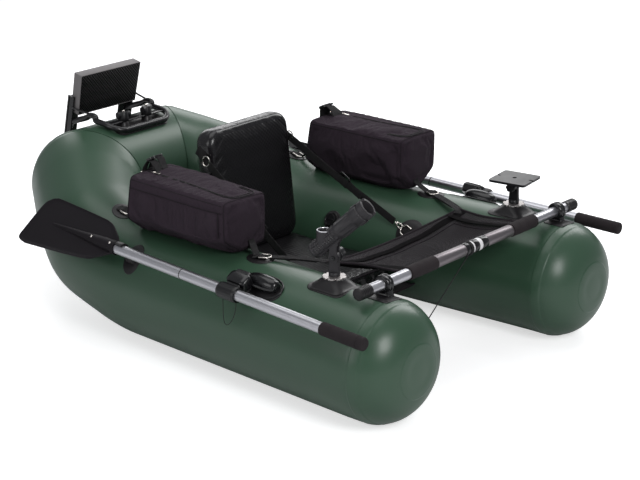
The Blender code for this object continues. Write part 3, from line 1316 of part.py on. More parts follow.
def make_stern_mount(rubber, steel, plastic, board_material, guides):
    crest = hull_level(STERN_AFT) + TUBE_RADIUS
    pad_level = stern_skin(STERN_PAD_AFT, 0)
    run = STERN_PAD_AFT - STERN_AFT
    normal = Vector((0, run, pad_level - hull_level(STERN_AFT)))
    placement = frame(at(0, STERN_PAD_AFT, pad_level), Vector((1, 0, 0)), normal)
    outline = rounded(STERN_PAD_HALF_LENGTH, STERN_PAD_HALF_WIDTH, PAD_CORNER)
    plate_low = stern_skin(STUD_AFT, FRAME_RIDE) - CROSS_PLATE_THICKNESS / 2
    plate_high = plate_low + CROSS_PLATE_THICKNESS
    extras = []
    for side in SIDE_NAMES:
        stud = upright(side * STUD_SPACING / 2, STUD_AFT, 0)
        extras.append(turned([
            (STUD_BOSS_RADIUS, crest - PATCH_DEPTH), (STUD_BOSS_RADIUS, plate_low - CLEARANCE),
        ], stud))
        extras.append(turned([
            (STUD_RADIUS, crest - PATCH_DEPTH), (STUD_RADIUS, plate_high + STUD_BOSS_TOP),
        ], stud))
    glued_patch("stern_pad", rubber, guides, "stern", placement, outline, *extras)

    stern_frame = solid("stern_frame", steel, swept(frame_path(), FRAME_RADIUS))
    plate = prism(
        rounded(FRAME_HALF_WIDTH, CROSS_PLATE_WIDTH / 2, BAR_WALL),
        upright(0, STUD_AFT, 0, Vector((1, 0, 0))), plate_low, plate_high,
    )
    uprights = []
    back = BOARD_THICKNESS + CLEARANCE
    cheek_frame = frame(board_point(0, 0, 0), board_frame().to_3x3().col[2], Vector((1, 0, 0)))
    for side in SIDE_NAMES:
        x_outer = side * UPRIGHT_OUTER_X
        x_inner = side * (UPRIGHT_OUTER_X - UPRIGHT_WIDTH)
        low = UPRIGHT_TOP - UPRIGHT_LENGTH
        outline = [(x_inner, low), (x_outer, low), (x_outer, UPRIGHT_TOP), (x_inner, UPRIGHT_TOP)]
        uprights.append(prism(outline, board_frame(), -back - UPRIGHT_THICKNESS, -back))
        outline = [
            (-CHEEK_FRONT_DEPTH, -UPRIGHT_TOP), (-CHEEK_BACK_DEPTH, -UPRIGHT_TOP),
            (-CHEEK_BACK_DEPTH, -low), (-CHEEK_FRONT_DEPTH, -low - CHEEK_FRONT_CUT),
        ]
        x_cheek = x_outer - side * UPRIGHT_THICKNESS
        uprights.append(prism(outline, cheek_frame, min(x_cheek, x_outer), max(x_cheek, x_outer)))
        uprights.append(swept([
            board_point(x_outer, STAY_HEIGHT, STAY_DEPTH),
            at(side * FRAME_HALF_WIDTH, FRAME_ARCH_AFT, FRAME_ARCH_LEVEL),
        ], STAY_RADIUS))
    fuse(stern_frame, plate, *uprights)
    hole = STUD_RADIUS + RUNNING_FIT
    for side, name in SIDE_NAMES.items():
        stud = upright(side * STUD_SPACING / 2, STUD_AFT, 0)
        cut(stern_frame, turned([
            (hole, plate_low - CUT_OVERRUN), (hole, plate_high + CUT_OVERRUN),
        ], stud))
        low = plate_high + CLEARANCE
        knob = solid(f"{name}_clamp_knob", plastic, knob_shape(
            stud, CLAMP_KNOB_RADIUS, low, CLAMP_KNOB_HEIGHT,
        ))
        cut(knob, turned([
            (hole, low - CUT_OVERRUN), (hole, plate_high + STUD_BOSS_TOP + CLEARANCE),
        ], stud))
        axis_foot = at(side * STUD_SPACING / 2, STUD_AFT, low)
        pivot(f"{name}_clamp_knob_turn", axis_foot, Vector((0, 0, 1)), knob)

    half = BOARD_HEIGHT / 2
    outline = [
        (-BOARD_BOTTOM_HALF_WIDTH, -half), (BOARD_BOTTOM_HALF_WIDTH, -half),
        (BOARD_TOP_HALF_WIDTH, half), (-BOARD_TOP_HALF_WIDTH, half),
    ]
    solid("transom_board", board_material, prism(outline, board_frame(), -BOARD_THICKNESS, 0))


# Cords

def cord(name, material, points, radius):
    curve = bpy.data.curves.new(name, "CURVE")
    curve.dimensions = "3D"
    curve.bevel_depth = radius
    curve.bevel_resolution = CORD_RESOLUTION
    curve.use_fill_caps = True
    spline = curve.splines.new("POLY")
    spline.points.add(len(points) - 1)
    for slot, point in zip(spline.points, points):
        slot.co = (point.x, point.y, point.z, 1)
    curve.materials.append(material)
    obj = bpy.data.objects.new(name, curve)
    bpy.context.collection.objects.link(obj)
    return obj


def bar_cord_ends():
    """Where the bar's cord starts under the bar, and where it meets its eyelet."""
    placement = hull_frame(RIGHT, EYELET_AFT, EYELET_LEAN)
    knot = at(BAR_CORD_X, BAR_AFT, BAR_LEVEL - BAR_KNOT_DROP)
    run = (placement.translation - knot).normalized()
    start = knot + run * (BAR_KNOT_REACH + CLEARANCE)
    end = placement.translation - run * (EYELET_RISE + CLEARANCE)
    return placement, knot, run, start, end


def make_cords(line, rubber, guides, swing):
    """The taut cord from the bar to its eyelet, and the loop that hangs from the right oarlock."""
    placement, _, run, start, end = bar_cord_ends()
    eyelet = turned([
        (EYELET_RADIUS, -PATCH_DEPTH), (EYELET_RADIUS, PATCH_THICKNESS), (EYELET_RADIUS / 2, EYELET_RISE),
    ], frame(placement.translation, placement.to_3x3().col[0], -run))
    outline = oval(EYELET_PATCH_RADIUS, EYELET_PATCH_RADIUS)
    glued_patch("cord_eyelet", rubber, guides, RIGHT, placement, outline, eyelet)
    steps = BAR_CORD_STEPS
    route = [start + (end - start) * (step / steps) for step in range(steps + 1)]
    cord("bar_cord", line, route, BAR_CORD_RADIUS)
    along = oar_direction(RIGHT)
    up = Vector((0, 0, 1)) - along * along.z
    hanging = frame(oar_point(RIGHT, LOCK_AFT), along, up)
    loop = []
    for step in range(TETHER_STEPS + 1):
        angle = math.pi * step / TETHER_STEPS
        out = TETHER_LEAN * math.sin(angle) * math.sin(angle)
        drop = LOCK_SLEEVE_RADIUS + CLEARANCE + TETHER_DROP * math.sin(angle)
        loop.append(hanging @ Vector((-TETHER_HALF_SPREAD * math.cos(angle), out, -drop)))
    tether = cord("right_oar_tether", line, loop, TETHER_RADIUS)
    tether.parent = swing
    tether.matrix_parent_inverse = swing.matrix_world.inverted()


def main():
    for obj in list(bpy.data.objects):
        bpy.data.objects.remove(obj, do_unlink=True)
    green = surface("hull_skin", (0.028, 0.070, 0.042), 0.42)
    black = surface("black_plastic", (0.012, 0.012, 0.013), 0.40)
    rubber = surface("black_rubber", (0.018, 0.017, 0.018), 0.50)
    padding = surface("black_padding", (0.016, 0.015, 0.017), 0.55)
    cloth = surface("black_cloth", (0.030, 0.026, 0.030), 0.85)
    webbing = surface("black_webbing", (0.020, 0.019, 0.020), 0.80)
    mesh_cloth = surface("black_mesh", (0.025, 0.024, 0.025), 0.80)
    foam = surface("black_foam", (0.030, 0.026, 0.027), 0.90)
    holder = surface("grey_plastic", (0.055, 0.052, 0.055), 0.50)
    alloy = surface("bare_alloy", (0.62, 0.62, 0.64), 0.30, 1.0)
    steel = surface("bright_steel", (0.70, 0.66, 0.62), 0.22, 1.0)
    painted = surface("black_frame", (0.015, 0.015, 0.016), 0.35)
    board = surface("grey_board", (0.060, 0.060, 0.062), 0.60)
    line = surface("black_line", (0.015, 0.015, 0.015), 0.70)

    make_hull(green)
    guides = make_hull_guides()
    make_seat(webbing, padding, guides)
    make_backrest(padding)
    make_straps(webbing, rubber, guides)
    make_valves(rubber, black, guides)
    make_bags(cloth, steel, rubber, guides)
    make_crossbar(alloy, foam, rubber, guides)
    make_apron(mesh_cloth)
    make_pads(rubber, steel, guides)
    make_rod_holder(holder)
    make_finder_mount(black)
    swings = {}
    for side, name in SIDE_NAMES.items():
        swings[side] = make_oarlock(side, name, black, rubber, guides)
        make_oar(side, name, swings[side], alloy, foam, black)
        make_clip(side, name, rubber, guides)
    make_stern_mount(rubber, painted, black, board, guides)
    make_cords(line, rubber, guides, swings[RIGHT])


main()
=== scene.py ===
import math

import bmesh
import bpy
import numpy as np
from mathutils import Matrix, Vector, noise


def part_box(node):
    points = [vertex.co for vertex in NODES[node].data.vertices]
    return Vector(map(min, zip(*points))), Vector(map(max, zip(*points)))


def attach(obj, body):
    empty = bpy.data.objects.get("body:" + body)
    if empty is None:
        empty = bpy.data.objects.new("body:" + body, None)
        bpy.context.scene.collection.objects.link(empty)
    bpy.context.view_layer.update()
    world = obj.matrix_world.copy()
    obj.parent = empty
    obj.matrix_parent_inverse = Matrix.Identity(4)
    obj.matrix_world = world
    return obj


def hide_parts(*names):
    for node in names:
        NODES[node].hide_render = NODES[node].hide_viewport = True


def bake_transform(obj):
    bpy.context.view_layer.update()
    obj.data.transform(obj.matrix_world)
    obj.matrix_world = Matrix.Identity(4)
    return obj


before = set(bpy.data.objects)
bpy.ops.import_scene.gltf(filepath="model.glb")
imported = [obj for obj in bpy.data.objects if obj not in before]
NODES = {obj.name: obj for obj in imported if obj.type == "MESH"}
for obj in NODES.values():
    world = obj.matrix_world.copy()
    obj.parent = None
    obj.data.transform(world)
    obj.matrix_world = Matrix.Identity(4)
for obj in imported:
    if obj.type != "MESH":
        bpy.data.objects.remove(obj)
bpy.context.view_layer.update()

RIGHT = -1
LEFT = 1
SIDES = {RIGHT: "right", LEFT: "left"}
UP = Vector((0, 0, 1))
FINISHES = {}

# Sizes that the solids share, in metres
TUBE_RADIUS = 0.164
FRONT_HALF_SPACING = 0.396
BEND_HALF_SPACING = 0.339
BEND_AFT = 1.222
STERN_AFT = 1.445
STERN_HALF_WIDTH = 0.177
STERN_LIFT = 0.147
LIFT_START_AFT = 0.978
LIFT_POWER = 1.5
NOSE_RADIUS = 0.117
HULL_LENGTH = STERN_AFT + TUBE_RADIUS
CLEARANCE = 0.0003

# Colours as linear values
GREEN = (0.033, 0.074, 0.044)
BLACK = (0.006, 0.006, 0.007)
CLOTH_BLACK = (0.035, 0.024, 0.034)
WEBBING_BLACK = (0.010, 0.009, 0.010)
STEEL = (0.72, 0.68, 0.64)


# Places

def at(x, aft, level):
    return Vector((x, aft - HULL_LENGTH / 2, level))


def frame_at(origin, along, normal):
    z_axis = normal.normalized()
    x_axis = (along - z_axis * along.dot(z_axis)).normalized()
    placement = Matrix((x_axis, z_axis.cross(x_axis), z_axis)).transposed().to_4x4()
    placement.translation = origin
    return placement


def clamp(value, low=0.0, high=1.0):
    return min(max(value, low), high)


def ease(value):
    share = clamp(value)
    return share * share * (3 - 2 * share)


def leg_spacing(aft):
    share = clamp((aft - TUBE_RADIUS) / (BEND_AFT - TUBE_RADIUS))
    return FRONT_HALF_SPACING + (BEND_HALF_SPACING - FRONT_HALF_SPACING) * share


def lift_share(aft):
    return clamp((aft - LIFT_START_AFT) / (STERN_AFT - LIFT_START_AFT))


def hull_level(aft):
    return TUBE_RADIUS + STERN_LIFT * lift_share(aft) ** LIFT_POWER


def hull_slope(aft):
    run = STERN_AFT - LIFT_START_AFT
    return STERN_LIFT * LIFT_POWER * lift_share(aft) ** (LIFT_POWER - 1) / run


def skin_point(side, aft, lean, lift=0.0):
    """A point on a pontoon's skin; lean is outboard from the crest."""
    pitch = math.atan(hull_slope(aft))
    crest = Vector((0, -math.sin(pitch), math.cos(pitch)))
    normal = Vector((side, 0, 0)) * math.sin(lean) + crest * math.cos(lean)
    return at(side * leg_spacing(aft), aft, hull_level(aft)) + normal * (TUBE_RADIUS + lift)


def skin_frame(side, aft, lean):
    origin = skin_point(side, aft, lean)
    ahead = skin_point(side, aft + 0.01, lean) - origin
    normal = skin_point(side, aft, lean, 0.01) - origin
    return frame_at(origin, ahead, normal)


# Node materials

def link(tree, source, target):
    tree.links.new(source, target)


def made(tree, kind, **settings):
    node = tree.nodes.new(kind)
    for key, value in settings.items():
        setattr(node, key, value)
    return node


def math_node(tree, operation, first, second=None):
    node = made(tree, "ShaderNodeMath", operation=operation)
    for slot, value in zip(node.inputs, (first, second)):
        if value is None:
            continue
        if isinstance(value, (int, float)):
            slot.default_value = value
        else:
            link(tree, value, slot)
    return node.outputs[0]


def object_axes(tree):
    coords = made(tree, "ShaderNodeTexCoord")
    split = made(tree, "ShaderNodeSeparateXYZ")
    link(tree, coords.outputs["Object"], split.inputs[0])
    return split.outputs


def add_bump(material, height, distance, strength=1.0):
    """Stacks one more bump on the shader's normal."""
    tree = material.node_tree
    shader = tree.nodes["Principled BSDF"]
    bump = made(tree, "ShaderNodeBump")
    bump.inputs["Distance"].default_value = distance
    bump.inputs["Strength"].default_value = strength
    link(tree, height, bump.inputs["Height"])
    if shader.inputs["Normal"].links:
        link(tree, shader.inputs["Normal"].links[0].from_socket, bump.inputs["Normal"])
    link(tree, bump.outputs[0], shader.inputs["Normal"])


def noise_height(material, scale, detail=3.0, stretch=(1, 1, 1)):
    tree = material.node_tree
    coords = made(tree, "ShaderNodeTexCoord")
    mapping = made(tree, "ShaderNodeMapping")
    mapping.inputs["Scale"].default_value = stretch
    texture = made(tree, "ShaderNodeTexNoise")
    texture.inputs["Scale"].default_value = scale
    texture.inputs["Detail"].default_value = detail
    link(tree, coords.outputs["Object"], mapping.inputs[0])
    link(tree, mapping.outputs[0], texture.inputs["Vector"])
    return texture.outputs["Fac"]


def lattice_height(material, pitch, diagonal=False):
    """Small hills on a square lattice, which reads as a weave on any level or upright face."""
    tree = material.node_tree
    axes = list(object_axes(tree))
    if diagonal:
        axes = [math_node(tree, "ADD", axes[0], axes[2]), math_node(tree, "SUBTRACT", axes[0], axes[2]),
                math_node(tree, "MULTIPLY", axes[1], math.sqrt(2))]
    waves = []
    for axis in axes:
        turned = math_node(tree, "MULTIPLY", axis, 2 * math.pi / pitch)
        waves.append(math_node(tree, "SINE", turned))
    return math_node(tree, "ADD", math_node(tree, "ADD", waves[0], waves[1]), waves[2])


def finish(name, colour, roughness, metallic=0.0, spread=0.12, scale=9.0, gloss_spread=0.06, specular=0.5,
           ior=1.5):
    """A Principled material whose colour and gloss drift gently over the surface."""
    material = bpy.data.materials.new(name)
    material.use_nodes = True
    tree = material.node_tree
    shader = tree.nodes["Principled BSDF"]
    shader.inputs["Metallic"].default_value = metallic
    shader.inputs["Specular IOR Level"].default_value = specular
    shader.inputs["IOR"].default_value = ior
    drift = noise_height(material, scale, 4.0)
    mix = made(tree, "ShaderNodeMix", data_type="RGBA")
    mix.inputs[6].default_value = (*(channel * (1 - spread) for channel in colour), 1)
    mix.inputs[7].default_value = (*(channel * (1 + spread) for channel in colour), 1)
    link(tree, drift, mix.inputs[0])
    link(tree, mix.outputs[2], shader.inputs["Base Color"])
    spread_node = made(tree, "ShaderNodeMapRange")
    spread_node.inputs["To Min"].default_value = clamp(roughness - gloss_spread)
    spread_node.inputs["To Max"].default_value = clamp(roughness + gloss_spread)
    link(tree, noise_height(material, scale * 2.3, 5.0), spread_node.inputs["Value"])
    link(tree, spread_node.outputs[0], shader.inputs["Roughness"])
    return material


# Each finish: key, name, colour, roughness, settings, and then its bumps (kind, sizes, distance, strength)
FINISH_TABLE = (
    ("hull", "hull_pvc", GREEN, 0.33, dict(spread=0.07, scale=2.2, gloss_spread=0.04, ior=1.48),
     (noise_height, (900, 2.0), 0.00006, 0.35), (noise_height, (5.0, 2.0), 0.004, 0.10)),
    ("plastic", "moulded_plastic", (0.007, 0.007, 0.008), 0.36, dict(spread=0.2, specular=0.4),
     (noise_height, (1400, 2.0), 0.00005, 0.4)),
    ("glossy", "glossy_plastic", BLACK, 0.20, dict(spread=0.15)),
    ("blade", "blade_plastic", (0.0088, 0.0072, 0.0092), 0.55, dict(spread=0.25, scale=6.0, specular=0.15),
     (noise_height, (700, 3.0), 0.0001, 0.4)),
    ("rubber", "moulded_rubber", (0.009, 0.008, 0.009), 0.38, dict(spread=0.2, specular=0.4),
     (noise_height, (600, 3.0), 0.0001, 0.5)),
    ("vinyl", "padded_vinyl", (0.006, 0.0055, 0.0065), 0.25, dict(spread=0.2, scale=7.0),
     (noise_height, (420, 5.0), 0.0003, 0.35)),
    ("dimpled", "dimpled_vinyl", (0.0045, 0.004, 0.005), 0.44, dict(spread=0.2, specular=0.3),
     (lattice_height, (0.0125, True), 0.0005, 0.45), (noise_height, (500, 3.0), 0.0002, 0.4)),
    ("cloth", "bag_cloth", CLOTH_BLACK, 0.88, dict(spread=0.22, scale=5.0, specular=0.2),
     (lattice_height, (0.0011,), 0.00022, 0.9), (noise_height, (11, 2.5, (1.4, 0.7, 0.8)), 0.010, 0.42),
     (noise_height, (30, 3.0, (1, 0.6, 1.6)), 0.0020, 0.45)),
    ("piping", "bag_piping", (0.0155, 0.0115, 0.0150), 0.75, dict(spread=0.2, specular=0.2),
     (lattice_height, (0.0015,), 0.0002, 0.8)),
    ("webbing", "webbing", WEBBING_BLACK, 0.72, dict(spread=0.2, specular=0.3),
     (lattice_height, (0.0021,), 0.0004, 0.9)),
    ("floor", "floor_cloth", (0.009, 0.008, 0.009), 0.55, dict(spread=0.25, specular=0.3),
     (lattice_height, (0.004,), 0.0005, 0.7)),
    ("foam", "closed_foam", (0.018, 0.014, 0.0155), 0.88, dict(spread=0.25, scale=40.0, specular=0.25),
     (noise_height, (1500, 4.0), 0.0004, 0.8)),
    ("grey", "grey_plastic", (0.020, 0.0185, 0.021), 0.46, dict(spread=0.15, specular=0.4),
     (noise_height, (1300, 2.0), 0.00006, 0.5)),
    ("alloy", "anodised_alloy", (0.56, 0.56, 0.59), 0.34,
     dict(metallic=1.0, spread=0.05, gloss_spread=0.04),
     (noise_height, (260, 3.0, (6, 0.25, 6)), 0.00006, 0.2)),
    ("satin", "satin_sleeve", (0.22, 0.20, 0.21), 0.42, dict(metallic=1.0, spread=0.06),
     (noise_height, (300, 3.0, (0.3, 5, 5)), 0.00006, 0.5)),
    ("white", "white_ring", (0.72, 0.71, 0.72), 0.35, dict(spread=0.04),
     (noise_height, (900, 2.0), 0.00004, 0.4)),
    ("steel", "bright_steel", STEEL, 0.20, dict(metallic=1.0, spread=0.08, gloss_spread=0.08),
     (noise_height, (200, 4.0), 0.0002, 0.3)),
    ("star", "star_plate", (0.50, 0.47, 0.46), 0.42, dict(metallic=0.9, spread=0.08),
     (noise_height, (240, 3.0), 0.0002, 0.3)),
    ("painted", "painted_steel", (0.010, 0.010, 0.011), 0.26, dict(spread=0.2, scale=12.0),
     (noise_height, (500, 2.0), 0.00015, 0.35)),
    ("board", "board_edge", (0.155, 0.145, 0.147), 0.55, dict(spread=0.12),
     (noise_height, (800, 3.0), 0.0001, 0.4)),
    ("tread", "board_tread", (0.0022, 0.0020, 0.0024), 0.45, dict(spread=0.2, specular=0.14),
     (lattice_height, (0.0105, True), 0.0012, 1.0)),
    ("line", "thin_line", (0.008, 0.008, 0.008), 0.7, dict(spread=0.2),
     (noise_height, (2500, 2.0), 0.0002, 0.6)),
    ("net_band", "net_band", (0.0035, 0.003, 0.0035), 0.85, dict(spread=0.2, specular=0.05)),
)


def make_finishes():
    for key, name, colour, roughness, settings, *bumps in FINISH_TABLE:
        material = finish(name, colour, roughness, **settings)
        for height, sizes, distance, strength in bumps:
            add_bump(material, height(material, *sizes), distance, strength)
        FINISHES[key] = material
    FINISHES["net"] = make_net()


def make_net():
    """A fine black net: a lattice of threads with see-through holes between them."""
    material = finish("fine_net", (0.0230, 0.0195, 0.0225), 0.65, spread=0.2, specular=0.12)
    tree = material.node_tree
    add_bump(material, lattice_height(material, 0.0024), 0.0002, 0.5)
    cover = made(tree, "ShaderNodeMapRange")
    cover.inputs["To Min"].default_value = 0.70
    cover.inputs["To Max"].default_value = 0.86
    link(tree, lattice_height(material, 0.0024), cover.inputs["Value"])
    link(tree, cover.outputs[0], tree.nodes["Principled BSDF"].inputs["Alpha"])
    return material


# Meshes

def mesh_object(name, verts, faces, materials, sharp=math.radians(40)):
    """An object from points and faces, with its faces turned outwards."""
    mesh = bpy.data.meshes.new(name)
    mesh.from_pydata([tuple(vert) for vert in verts], [], faces)
    work = bmesh.new()
    work.from_mesh(mesh)
    bmesh.ops.remove_doubles(work, verts=work.verts, dist=0.00001)
    bmesh.ops.recalc_face_normals(work, faces=work.faces)
    work.to_mesh(mesh)
    work.free()
    for material in materials:
        mesh.materials.append(material)
    mesh.shade_smooth()
    mesh.set_sharp_from_angle(angle=sharp)
    obj = bpy.data.objects.new(name, mesh)
    bpy.context.scene.collection.objects.link(obj)
    return obj


def lofted(rings, closed=False, caps=True):
    count = len(rings[0])
    verts = [point for ring in rings for point in ring]
    faces = []
    last = len(rings) if closed else len(rings) - 1
    for row in range(last):
        here = row * count
        there = (row + 1) % len(rings) * count
        for step in range(count):
            after = (step + 1) % count
            faces.append((here + step, here + after, there + after, there + step))
    if caps and not closed:
        faces.append(tuple(range(count)))
        faces.append(tuple(range(len(verts) - count, len(verts))))
    return verts, faces


def turned(profile, placement, sides=40, closed=False):
    rings = []
    for radius, height in profile:
        angles = [2 * math.pi * (step + 0.5) / sides for step in range(sides)]
        rings.append([placement @ Vector((radius * math.cos(angle), radius * math.sin(angle), height))
                      for angle in angles])
    return lofted(rings, closed=closed)


def prism(outline, placement, low, high, bevel=0.0):
    """An outline extruded along local Z, drawn in a little at both rims."""
    levels = [(low, bevel), (low + bevel, 0), (high - bevel, 0), (high, bevel)] if bevel else [(low, 0),
            (high, 0)]
    reach_u = max(abs(u) for u, v in outline)
    reach_v = max(abs(v) for u, v in outline)
    rings = []
    for height, draw in levels:
        rings.append([placement @ Vector((u * (1 - draw / reach_u), v * (1 - draw / reach_v), height))
                      for u, v in outline])
    return lofted(rings)


def oval(half_length, half_width, count=40):
    angles = [2 * math.pi * step / count for step in range(count)]
    return [(half_length * math.cos(a), half_width * math.sin(a)) for a in angles]


def rounded(half_length, half_width, corner, steps=6):
    outline = []
    for number, (along, across) in enumerate(((1, 1), (-1, 1), (-1, -1), (1, -1))):
        for step in range(steps + 1):
            angle = math.pi / 2 * (number + step / steps)
            outline.append((along * (half_length - corner) + corner * math.cos(angle),
                            across * (half_width - corner) + corner * math.sin(angle)))
    return outline


def circle(placement, reach_u, reach_v=None, height=0.0, count=24):
    """Points of an ellipse in a frame's plane, or at a height over it."""
    reach_v = reach_u if reach_v is None else reach_v
    return [placement @ Vector((reach_u * math.cos(angle), reach_v * math.sin(angle), height))
            for angle in whole_turn(count)]


def joined(name, shapes, material, sharp=math.radians(40)):
    """Several shapes as one object of the same material."""
    verts = []
    faces = []
    for shape_verts, shape_faces in shapes:
        first = len(verts)
        verts += list(shape_verts)
        faces += [tuple(first + index for index in face) for face in shape_faces]
    return mesh_object(name, verts, faces, [material], sharp)


def smooth_path(points, steps=8, closed=False):
    """A Catmull-Rom curve through points."""
    count = len(points)
    path = []
    spans = count if closed else count - 1
    for index in range(spans):
        near = [points[(index + shift) % count] if closed
                else points[min(max(index + shift, 0), count - 1)] for shift in (-1, 0, 1, 2)]
        for step in range(steps):
            t = step / steps
            path.append(0.5 * (2 * near[1] + (near[2] - near[0]) * t
                               + (2 * near[0] - 5 * near[1] + 4 * near[2] - near[3]) * t * t
                               + (3 * near[1] - near[0] - 3 * near[2] + near[3]) * t * t * t))
    if not closed:
        path.append(points[-1])
    return path


def tube(points, radius, sides=12, closed=False):
    """A round wire along points."""
    count = len(points)
    rings = []
    side = None
    for index, point in enumerate(points):
        before = points[index - 1] if index or closed else point
        after = points[(index + 1) % count] if index < count - 1 or closed else point
        tangent = (after - before).normalized()
        if side is None:
            side = tangent.orthogonal().normalized()
        side = (side - tangent * side.dot(tangent)).normalized()
        other = tangent.cross(side)
        reach = radius(index / max(count - 1, 1)) if callable(radius) else radius
        rings.append([point + (side * math.cos(angle) + other * math.sin(angle)) * reach
                      for angle in (2 * math.pi * step / sides for step in range(sides))])
    return lofted(rings, closed=closed)


def dense(points, spacing=0.006, closed=False):
    """The same straight spans with points no further apart than spacing."""
    path = []
    pairs = list(zip(points, points[1:])) + ([(points[-1], points[0])] if closed else [])
    for start, end in pairs:
        count = max(1, math.ceil((end - start).length / spacing))
        path += [start + (end - start) * (step / count) for step in range(count)]
    return path if closed else path + [points[-1]]


def ribbon(points, facing, width, thickness):
    """A flat strap along points; facing gives its face's direction at each share of the way."""
    rings = []
    count = len(points)
    corners = rounded(width / 2, thickness / 2, thickness / 2 * 0.9, 3)
    for index, point in enumerate(points):
        tangent = (points[min(index + 1, count - 1)] - points[max(index - 1, 0)]).normalized()
        normal = facing(index / (count - 1))
        normal = (normal - tangent * normal.dot(tangent)).normalized()
        across = tangent.cross(normal)
        rings.append([point + across * u + normal * v for u, v in corners])
    return lofted(rings)


def put(obj, body, slot, *nodes):
    """Rides a piece on its body and hides the solids it stands for; slot is not used."""
    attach(obj, body)
    if nodes:
        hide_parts(*nodes)
    return obj


def add(name, shapes, key, body, slot, *nodes):
    """Several shapes as one piece of a named finish, riding on its body."""
    return put(joined(name, shapes, FINISHES[key]), body, slot, *nodes)


# Camera, light and floor

CAMERA_PLACE = Vector((-3.786, -3.3885, 1.986))
CAMERA_BACK = Vector((-0.7175, -0.616, 0.3276))
CAMERA_RIGHT = Vector((0.652, -0.758, 0))
SENSOR_WIDTH = 36.0
LENS = 104.4
FLOOR_HALF = 9.0
FLOOR_DROP = 0.0015


def area_light(name, place, target, size, power, colour=(1, 1, 1)):
    data = bpy.data.lights.new(name, "AREA")
    data.shape = "RECTANGLE"
    data.size, data.size_y = size
    data.energy = power
    data.color = colour
    lamp = bpy.data.objects.new(name, data)
    bpy.context.scene.collection.objects.link(lamp)
    back = (place - target).normalized()
    lamp.matrix_world = frame_at(place, UP.cross(back) if abs(back.z) < 0.99 else Vector((1, 0, 0)), back)
    return lamp


def make_studio():
    scene = bpy.context.scene
    scene.view_settings.view_transform = "Standard"
    data = bpy.data.cameras.new("photo_camera")
    data.sensor_width = SENSOR_WIDTH
    data.lens = LENS
    data.clip_end = 50
    camera = bpy.data.objects.new("photo_camera", data)
    scene.collection.objects.link(camera)
    back = CAMERA_BACK.normalized()
    right = (CAMERA_RIGHT - back * CAMERA_RIGHT.dot(back)).normalized()
    placement = Matrix((right, back.cross(right), back)).transposed().to_4x4()
    placement.translation = CAMERA_PLACE
    camera.matrix_world = placement
    scene.camera = camera

    world = bpy.data.worlds.new("studio")
    scene.world = world
    world.use_nodes = True
    tree = world.node_tree
    background = tree.nodes["Background"]
    background.inputs["Color"].default_value = (0.93, 0.95, 1.0, 1)
    background.inputs["Strength"].default_value = 0.30
    seen = made(tree, "ShaderNodeBackground")
    seen.inputs["Color"].default_value = (1, 1, 1, 1)
    path = made(tree, "ShaderNodeLightPath")
    mix = made(tree, "ShaderNodeMixShader")
    link(tree, path.outputs["Is Camera Ray"], mix.inputs[0])
    link(tree, background.outputs[0], mix.inputs[1])
    link(tree, seen.outputs[0], mix.inputs[2])
    link(tree, mix.outputs[0], tree.nodes["World Output"].inputs["Surface"])

    middle = Vector((0, 0, 0.2))
    front = Vector((-0.3, -0.7, 0.2))
    area_light("overhead", Vector((-0.3, 0.4, 3.4)), middle, (2.6, 2.6), 34)
    area_light("front_softbox", Vector((-1.45, -3.25, 2.25)), front, (1.3, 1.5), 62)
    area_light("right_softbox", Vector((3.0, -0.1, 2.9)), middle, (1.4, 3.2), 66)
    area_light("left_fill", Vector((-3.9, 0.6, 1.6)), middle, (2.4, 1.8), 26)
    area_light("back_softbox", Vector((2.7, 2.9, 2.0)), middle, (3.8, 2.0), 48)

    floor = mesh_object("floor", [(-FLOOR_HALF, -FLOOR_HALF, -FLOOR_DROP),
                                  (FLOOR_HALF, -FLOOR_HALF, -FLOOR_DROP),
                                  (FLOOR_HALF, FLOOR_HALF, -FLOOR_DROP),
                                  (-FLOOR_HALF, FLOOR_HALF, -FLOOR_DROP)], [(0, 1, 2, 3)],
                        [make_floor_finish()])


def make_floor_finish():
    """A pale floor that the camera sees as near white, with a soft shadow left on it."""
    material = bpy.data.materials.new("studio_floor")
    material.use_nodes = True
    tree = material.node_tree
    shader = tree.nodes["Principled BSDF"]
    shader.inputs["Base Color"].default_value = (0.80, 0.80, 0.81, 1)
    shader.inputs["Roughness"].default_value = 0.7
    glow = made(tree, "ShaderNodeEmission")
    glow.inputs["Color"].default_value = (1, 1, 1, 1)
    glow.inputs["Strength"].default_value = 0.62
    path = made(tree, "ShaderNodeLightPath")
    both = made(tree, "ShaderNodeAddShader")
    mix = made(tree, "ShaderNodeMixShader")
    link(tree, shader.outputs[0], both.inputs[0])
    link(tree, glow.outputs[0], both.inputs[1])
    link(tree, path.outputs["Is Camera Ray"], mix.inputs[0])
    link(tree, shader.outputs[0], mix.inputs[1])
    link(tree, both.outputs[0], mix.inputs[2])
    link(tree, mix.outputs[0], tree.nodes["Material Output"].inputs["Surface"])
    return material


# Hull

HULL_SIDES = 112
NOSE_SEAM_AFT = 0.077
NOSE_DISC_RADIUS = 0.073
WELD_WIDTH = 0.026
WELD_HEIGHT = 0.0010
WELD_EDGE = 0.0022
BEND_PASSES = 60
PUCKER_COUNT = 46
PUCKER_DEPTH = 0.0017
PUCKER_REACH = 0.013
TAPE_LEAN = math.radians(-128)
TAPE_HALF_WIDTH = 0.016


def band(distance, width):
    """One inside a weld band that starts at zero distance, with soft edges."""
    return ease(distance / WELD_EDGE + 0.5) * ease((width - distance) / WELD_EDGE + 0.5)


